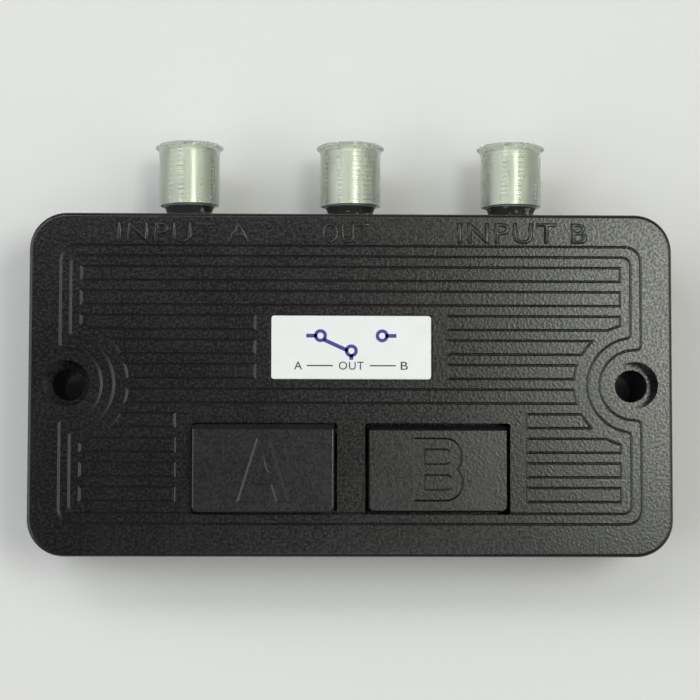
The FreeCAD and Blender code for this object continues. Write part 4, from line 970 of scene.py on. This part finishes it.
@dataclass
class Label(Assembly):
    """The white plate with a generic switch diagram and plain letters for its three terminals."""

    nodes = {Slot.LABEL: ("label_plate",)}
    ink: float = 0.03 * MM
    line: float = 0.62 * MM
    terminal_x: float = 5.0 * MM
    terminal_y: float = 1.9 * MM
    ring: float = 1.05 * MM
    ring_hole: float = 0.5 * MM
    ring_steps: int = 40
    lead: float = 2.3 * MM
    common_y: float = -0.55 * MM
    foot_y: float = -2.0 * MM
    letter_y: float = -2.95 * MM
    letter_height: float = 1.3 * MM
    letters: tuple[tuple[str, float, float], ...] = (
        ("A", -8.6 * MM, 1.3 * MM), ("OUT", 0.0, 4.0 * MM), ("B", 8.6 * MM, 1.15 * MM))
    dash: Span = (3.0 * MM, 7.2 * MM)
    dash_line: float = 0.2 * MM
    centre: Vector = field(init=False)

    def add_pieces(self) -> None:
        """Print the diagram and the letters on the plate."""
        low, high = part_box("label_plate")
        self.centre = Vector(((low.x + high.x) / 2, (low.y + high.y) / 2, high.z))
        self.dresser.piece("label_diagram", self.diagram(), "case", Slot.LABEL, BLUE_INK)
        self.dresser.piece("label_letters", self.letter_row(), "case", Slot.LABEL, BLACK_INK)

    def stroke(self, builder: BMesh, start: Span, end: Span, width: float) -> None:
        """Add one straight stroke of ink.

        Args:
            builder: the bmesh to add to.
            start: first end, from the label's centre.
            end: last end.
            width: how wide the stroke is.
        """
        first, last = Vector((*start, 0.0)), Vector((*end, 0.0))
        way = last - first
        matrix = (Matrix.Translation((first + last) / 2 + Vector((0.0, 0.0, self.ink / 2)))
                  @ Matrix.Rotation(math.atan2(way.y, way.x), 4, "Z")
                  @ Matrix.Diagonal((way.length, width, self.ink, 1.0)))
        bmesh.ops.create_cube(builder, size=1.0, matrix=matrix)

    def washer(self, builder: BMesh, centre: Span) -> None:
        """Add a ring of ink.

        Args:
            builder: the bmesh to add to.
            centre: its middle, from the label's centre.
        """
        corners = [(self.ring_hole, 0.0), (self.ring, 0.0), (self.ring, self.ink), (self.ring_hole, self.ink)]
        verts = [builder.verts.new((centre[0] + radius, centre[1], z)) for radius, z in corners]
        edges = [builder.edges.new((verts[k - 1], verts[k])) for k in range(len(verts))]
        bmesh.ops.spin(builder, geom=verts + edges, cent=(*centre, 0.0), axis=(0.0, 0.0, 1.0),
                       angle=2 * math.pi, steps=self.ring_steps, use_merge=True)

    def diagram(self) -> bpy.types.Mesh:
        """Draw the two inputs, the common terminal and the lever that rests on the first input.

        Returns:
            The mesh, in place.
        """
        builder = bmesh.new()
        for side in (-1, 1):
            self.washer(builder, (side * self.terminal_x, self.terminal_y))
            inner, outer = (side * (self.terminal_x + way) for way in (self.ring_hole, self.lead))
            self.stroke(builder, (inner, self.terminal_y), (outer, self.terminal_y), self.line)
        self.washer(builder, (0.0, self.common_y))
        self.stroke(builder, (-self.ring_hole, self.common_y),
                    (-self.terminal_x + self.ring_hole, self.terminal_y - self.line), self.line)
        self.stroke(builder, (0.0, self.common_y - self.ring_hole), (0.0, self.foot_y), self.line)
        bmesh.ops.recalc_face_normals(builder, faces=builder.faces)
        bmesh.ops.translate(builder, vec=self.centre, verts=builder.verts)
        return mesh_from(builder, "label_diagram")

    def letter_row(self) -> bpy.types.Mesh:
        """Print the terminals' letters in a row with a thin dash between them.

        Returns:
            The mesh, in place.
        """
        builder = bmesh.new()
        for side in (-1, 1):
            inner, outer = self.dash
            self.stroke(builder, (side * inner, self.letter_y), (side * outer, self.letter_y), self.dash_line)
        for words, x, width in self.letters:
            letter = plain_text(words, width, self.letter_height)
            thicken(letter, self.ink)
            bmesh.ops.translate(letter, vec=(x, self.letter_y, 0.0), verts=letter.verts)
            part = mesh_from(letter, words)
            builder.from_mesh(part)
            bpy.data.meshes.remove(part)
        bmesh.ops.translate(builder, vec=self.centre, verts=builder.verts)
        return mesh_from(builder, "label_letters")


class PushKeys(Assembly):
    """The two interlocked push keys."""

    nodes = {Slot.KEY: ("key_a", "key_b")}


class Ports(Assembly):
    """The three F ports with their insulators, contacts, nuts, washers and dust caps."""

    nodes = {
        Slot.NICKEL: ("port_a_shell", "port_out_shell", "port_b_shell", "port_nuts"),
        Slot.SCREW: ("port_washers",),
        Slot.INSULATOR: ("port_a_insulator", "port_out_insulator", "port_b_insulator"),
        Slot.BRASS: ("port_a_contact", "port_out_contact", "port_b_contact"),
        Slot.CAP: ("port_a_cap", "port_out_cap", "port_b_cap"),
    }


class Chassis(Assembly):
    """The steel plate and the can that stand in the case, and their screws."""

    nodes = {
        Slot.CHASSIS: ("chassis_plate",),
        Slot.TINPLATE: ("shield_can",),
        Slot.SCREW: ("chassis_screws",),
    }


class Board(Assembly):
    """The circuit board with what is soldered to it, its spacers and screws."""

    nodes = {
        Slot.LAMINATE: ("circuit_board",),
        Slot.COPPER: ("board_tracks",),
        Slot.SOLDER: ("solder_joints",),
        Slot.LOAD: ("termination_resistors",),
        Slot.BRASS: ("board_spacers",),
        Slot.SCREW: ("board_screws",),
    }


class SlideSwitch(Assembly):
    """The slide switch on the board: housing, spring, slider and contacts."""

    nodes = {
        Slot.TINPLATE: ("slider_housing",),
        Slot.SPRING: ("detent_spring",),
        Slot.ACETAL: ("contact_slider",),
        Slot.BRASS: ("bridge_contacts", "contact_strip_a", "contact_strip_common", "contact_strip_b"),
    }


class Actuator(Assembly):
    """The guide under the face and the rocker between the keys, with its pin and clips."""

    nodes = {
        Slot.INNER: ("key_guide", "rocker"),
        Slot.SCREW: ("guide_screws",),
        Slot.SPRING: ("rocker_pin", "pin_clips"),
    }


# ---- studio
@dataclass(frozen=True)
class Lamp:
    """One soft area lamp that looks at the object."""

    name: str
    place: Place
    target: Place
    size: Span
    power: float
    colour: Colour = (1.0, 1.0, 1.0)


@dataclass
class Studio:
    """Pale floor with a raised rim, soft lamps, a sky that is dark overhead and the camera above the face."""

    floor_radius: float = 1.3
    floor_segments: int = 96
    floor_drop: float = 0.02 * MM
    rim_radius: float = 0.5
    rim_steps: int = 10
    floor_colour: Colour = (0.8, 0.8, 0.79)
    backdrop_colour: Colour = (0.7, 0.7, 0.69)
    backdrop_reach: Span = (0.3, 0.9)
    sky_bands: tuple[Span, ...] = ((0.0, 0.12), (0.35, 0.5), (0.8, 0.5), (0.9, 0.03))
    sky_ends: Span = (0.4, 0.75)
    sky_end_share: float = 0.15
    sky_seen: float = 0.9
    sky_pale_below: Span = (0.12, 0.22)
    camera_place: Place = (-7.18 * MM, -15.91 * MM, 354.3 * MM)
    camera_aim: Place = (-0.21 * MM, 5.58 * MM, 22.0 * MM)
    camera_roll: float = 0.12
    lens: float = 105.8
    sensor: float = 36.0
    nearest: float = 0.01
    lamps: tuple[Lamp, ...] = (
        Lamp("window", (0.216, 0.068, 0.68), (0.05, 0.02, 0.0), (0.2, 0.16), 1.2, (0.96, 1.0, 0.88)),
        Lamp("corner_glow", (-0.26, 0.3, 0.62), (-0.04, 0.03, 0.0), (0.2, 0.2), 0.6),
        Lamp("port_glow", (-0.02, 0.24, 0.62), (0.0, 0.02, 0.0), (0.3, 0.1), 0.32),
        Lamp("front_glow", (0.03, -0.16, 0.62), (0.01, -0.02, 0.0), (0.16, 0.1), 0.19),
        Lamp("left_fill", (-0.72, 0.04, 0.52), (0.0, 0.0, 0.0), (0.8, 0.95), 3.6, (0.93, 0.97, 1.0)),
        Lamp("right_fill", (0.62, 0.04, 0.62), (0.0, 0.0, 0.0), (0.6, 0.5), 1.2, (1.0, 0.99, 0.93)),
    )

    def build(self) -> None:
        """Set up floor, sky, lamps and camera."""
        self.floor()
        self.sky_light()
        for lamp in self.lamps:
            self.hang(lamp)
        self.camera()
        bpy.context.scene.view_settings.view_transform = "Standard"
        LOG.info("studio ready")

    def floor(self) -> None:
        """Make the round floor with its rim that curves up."""
        builder = bmesh.new()
        bmesh.ops.create_circle(builder, cap_ends=True, radius=self.floor_radius,
                                segments=self.floor_segments)
        rim = [e for e in builder.edges if len(e.link_faces) == 1]
        reach = self.floor_radius
        for step in range(1, self.rim_steps + 1):
            angle = math.pi / 2 * step / self.rim_steps
            wider = self.floor_radius + self.rim_radius * math.sin(angle)
            grown = bmesh.ops.extrude_edge_only(builder, edges=rim)["geom"]
            verts = [item for item in grown if isinstance(item, bmesh.types.BMVert)]
            rim = [item for item in grown if isinstance(item, bmesh.types.BMEdge)]
            bmesh.ops.scale(builder, vec=(wider / reach, wider / reach, 1.0), verts=verts)
            for vert in verts:
                vert.co.z = self.rim_radius * (1 - math.cos(angle))
            reach = wider
        bmesh.ops.translate(builder, vec=(0.0, 0.0, -self.floor_drop), verts=builder.verts)
        mesh = mesh_from(builder, "studio_floor", smooth=True)
        mesh.materials.append(self.floor_material())
        floor = bpy.data.objects.new("studio_floor", mesh)
        bpy.context.scene.collection.objects.link(floor)

    def floor_material(self) -> bpy.types.Material:
        """Make the plain pale paper of the floor, which looks pale to the camera all the way out.

        Returns:
            The material.
        """
        made = bpy.data.materials.new("studio_paper")
        made.use_nodes = True
        graph = Graph(made.node_tree)
        paper = graph.coat({"Base Color": self.floor_colour, "Roughness": 0.9, "Specular IOR Level": 0.1})
        glow = graph.node("Emission", {"Color": self.backdrop_colour, "Strength": 1.0})
        distance = graph.node("VectorMath", {0: graph.place()}, operation="LENGTH").outputs["Value"]
        far = graph.remap(distance, self.backdrop_reach)
        share = graph.times(self.seen(graph, 1.0), far)
        surface = graph.node("MixShader", {0: share, 1: paper, 2: glow.outputs[0]})
        graph.node("OutputMaterial", {"Surface": surface.outputs[0]})
        return made

    @staticmethod
    def seen(graph: Graph, gloss: Value) -> Socket:
        """Tell the rays that show the background from those that light the object.

        Args:
            graph: the node tree of the floor or the sky.
            gloss: share of the background that glossy rays show.

        Returns:
            How much of the background a ray shows.
        """
        path = graph.node("LightPath", {}).outputs
        glossy = graph.times(path["Is Glossy Ray"], gloss)
        clear = graph.math("MAXIMUM", path["Is Camera Ray"], path["Is Transmission Ray"])
        return graph.math("MAXIMUM", clear, glossy)

    def sky_light(self) -> None:
        """Light everything from a sky in bands of height, dimmer at its Y ends and pale where it is seen."""
        world = bpy.data.worlds.new("studio_sky")
        world.use_nodes = True
        graph = Graph(world.node_tree)
        way = graph.node("TexCoord", {}).outputs["Generated"]
        parts = graph.node("SeparateXYZ", {0: way}).outputs
        height = parts[2]
        strength: Value = self.sky_bands[0][1]
        for (low, dim), (high, bright) in zip(self.sky_bands, self.sky_bands[1:]):
            strength = graph.math("ADD", strength, graph.remap(height, (low, high), (0.0, bright - dim)))
        ends = graph.remap(graph.math("ABSOLUTE", parts[1]), self.sky_ends, (1.0, self.sky_end_share))
        strength = graph.times(strength, ends)
        seen = self.seen(graph, graph.remap(height, self.sky_pale_below, (1.0, 0.0)))
        share = graph.times(strength, graph.math("SUBTRACT", 1.0, seen))
        strength = graph.math("ADD", share, graph.times(seen, self.sky_seen))
        sky = graph.node("Background", {"Color": (1.0, 1.0, 1.0), "Strength": strength})
        graph.node("OutputWorld", {"Surface": sky.outputs[0]})
        bpy.context.scene.world = world

    def hang(self, lamp: Lamp) -> None:
        """Hang one lamp so that it faces its target.

        Args:
            lamp: the lamp.
        """
        light = bpy.data.lights.new(lamp.name, "AREA")
        light.shape = "RECTANGLE"
        light.size, light.size_y = lamp.size
        light.energy = lamp.power
        light.color = lamp.colour
        holder = bpy.data.objects.new(lamp.name, light)
        holder.location = lamp.place
        way = Vector(lamp.target) - Vector(lamp.place)
        holder.rotation_euler = way.to_track_quat("-Z", "Y").to_euler()
        bpy.context.scene.collection.objects.link(holder)

    def camera(self) -> None:
        """Put the camera over the face, a little towards the keys' side and leaning, with a slight roll."""
        data = bpy.data.cameras.new("camera")
        data.lens = self.lens
        data.sensor_width = self.sensor
        data.clip_start = self.nearest
        holder = bpy.data.objects.new("camera", data)
        back = (Vector(self.camera_place) - Vector(self.camera_aim)).normalized()
        roll = math.radians(self.camera_roll)
        right = Vector((-math.sin(roll), math.cos(roll), 0.0)).cross(back).normalized()
        turn = Matrix((right, back.cross(right), back)).transposed().to_4x4()
        holder.matrix_world = Matrix.Translation(self.camera_place) @ turn
        bpy.context.scene.collection.objects.link(holder)
        bpy.context.scene.camera = holder


def main() -> None:
    """Build the studio and every sub-assembly in order."""
    logging.basicConfig(level=logging.INFO, format="%(message)s")
    Studio().build()
    dresser = Dresser()
    for assembly in (CaseShells, Label, PushKeys, Ports, Chassis, Board, SlideSwitch, Actuator):
        assembly(dresser).build()
        LOG.info("finished %s", assembly.__name__)


if __name__ == "__main__":
    main()
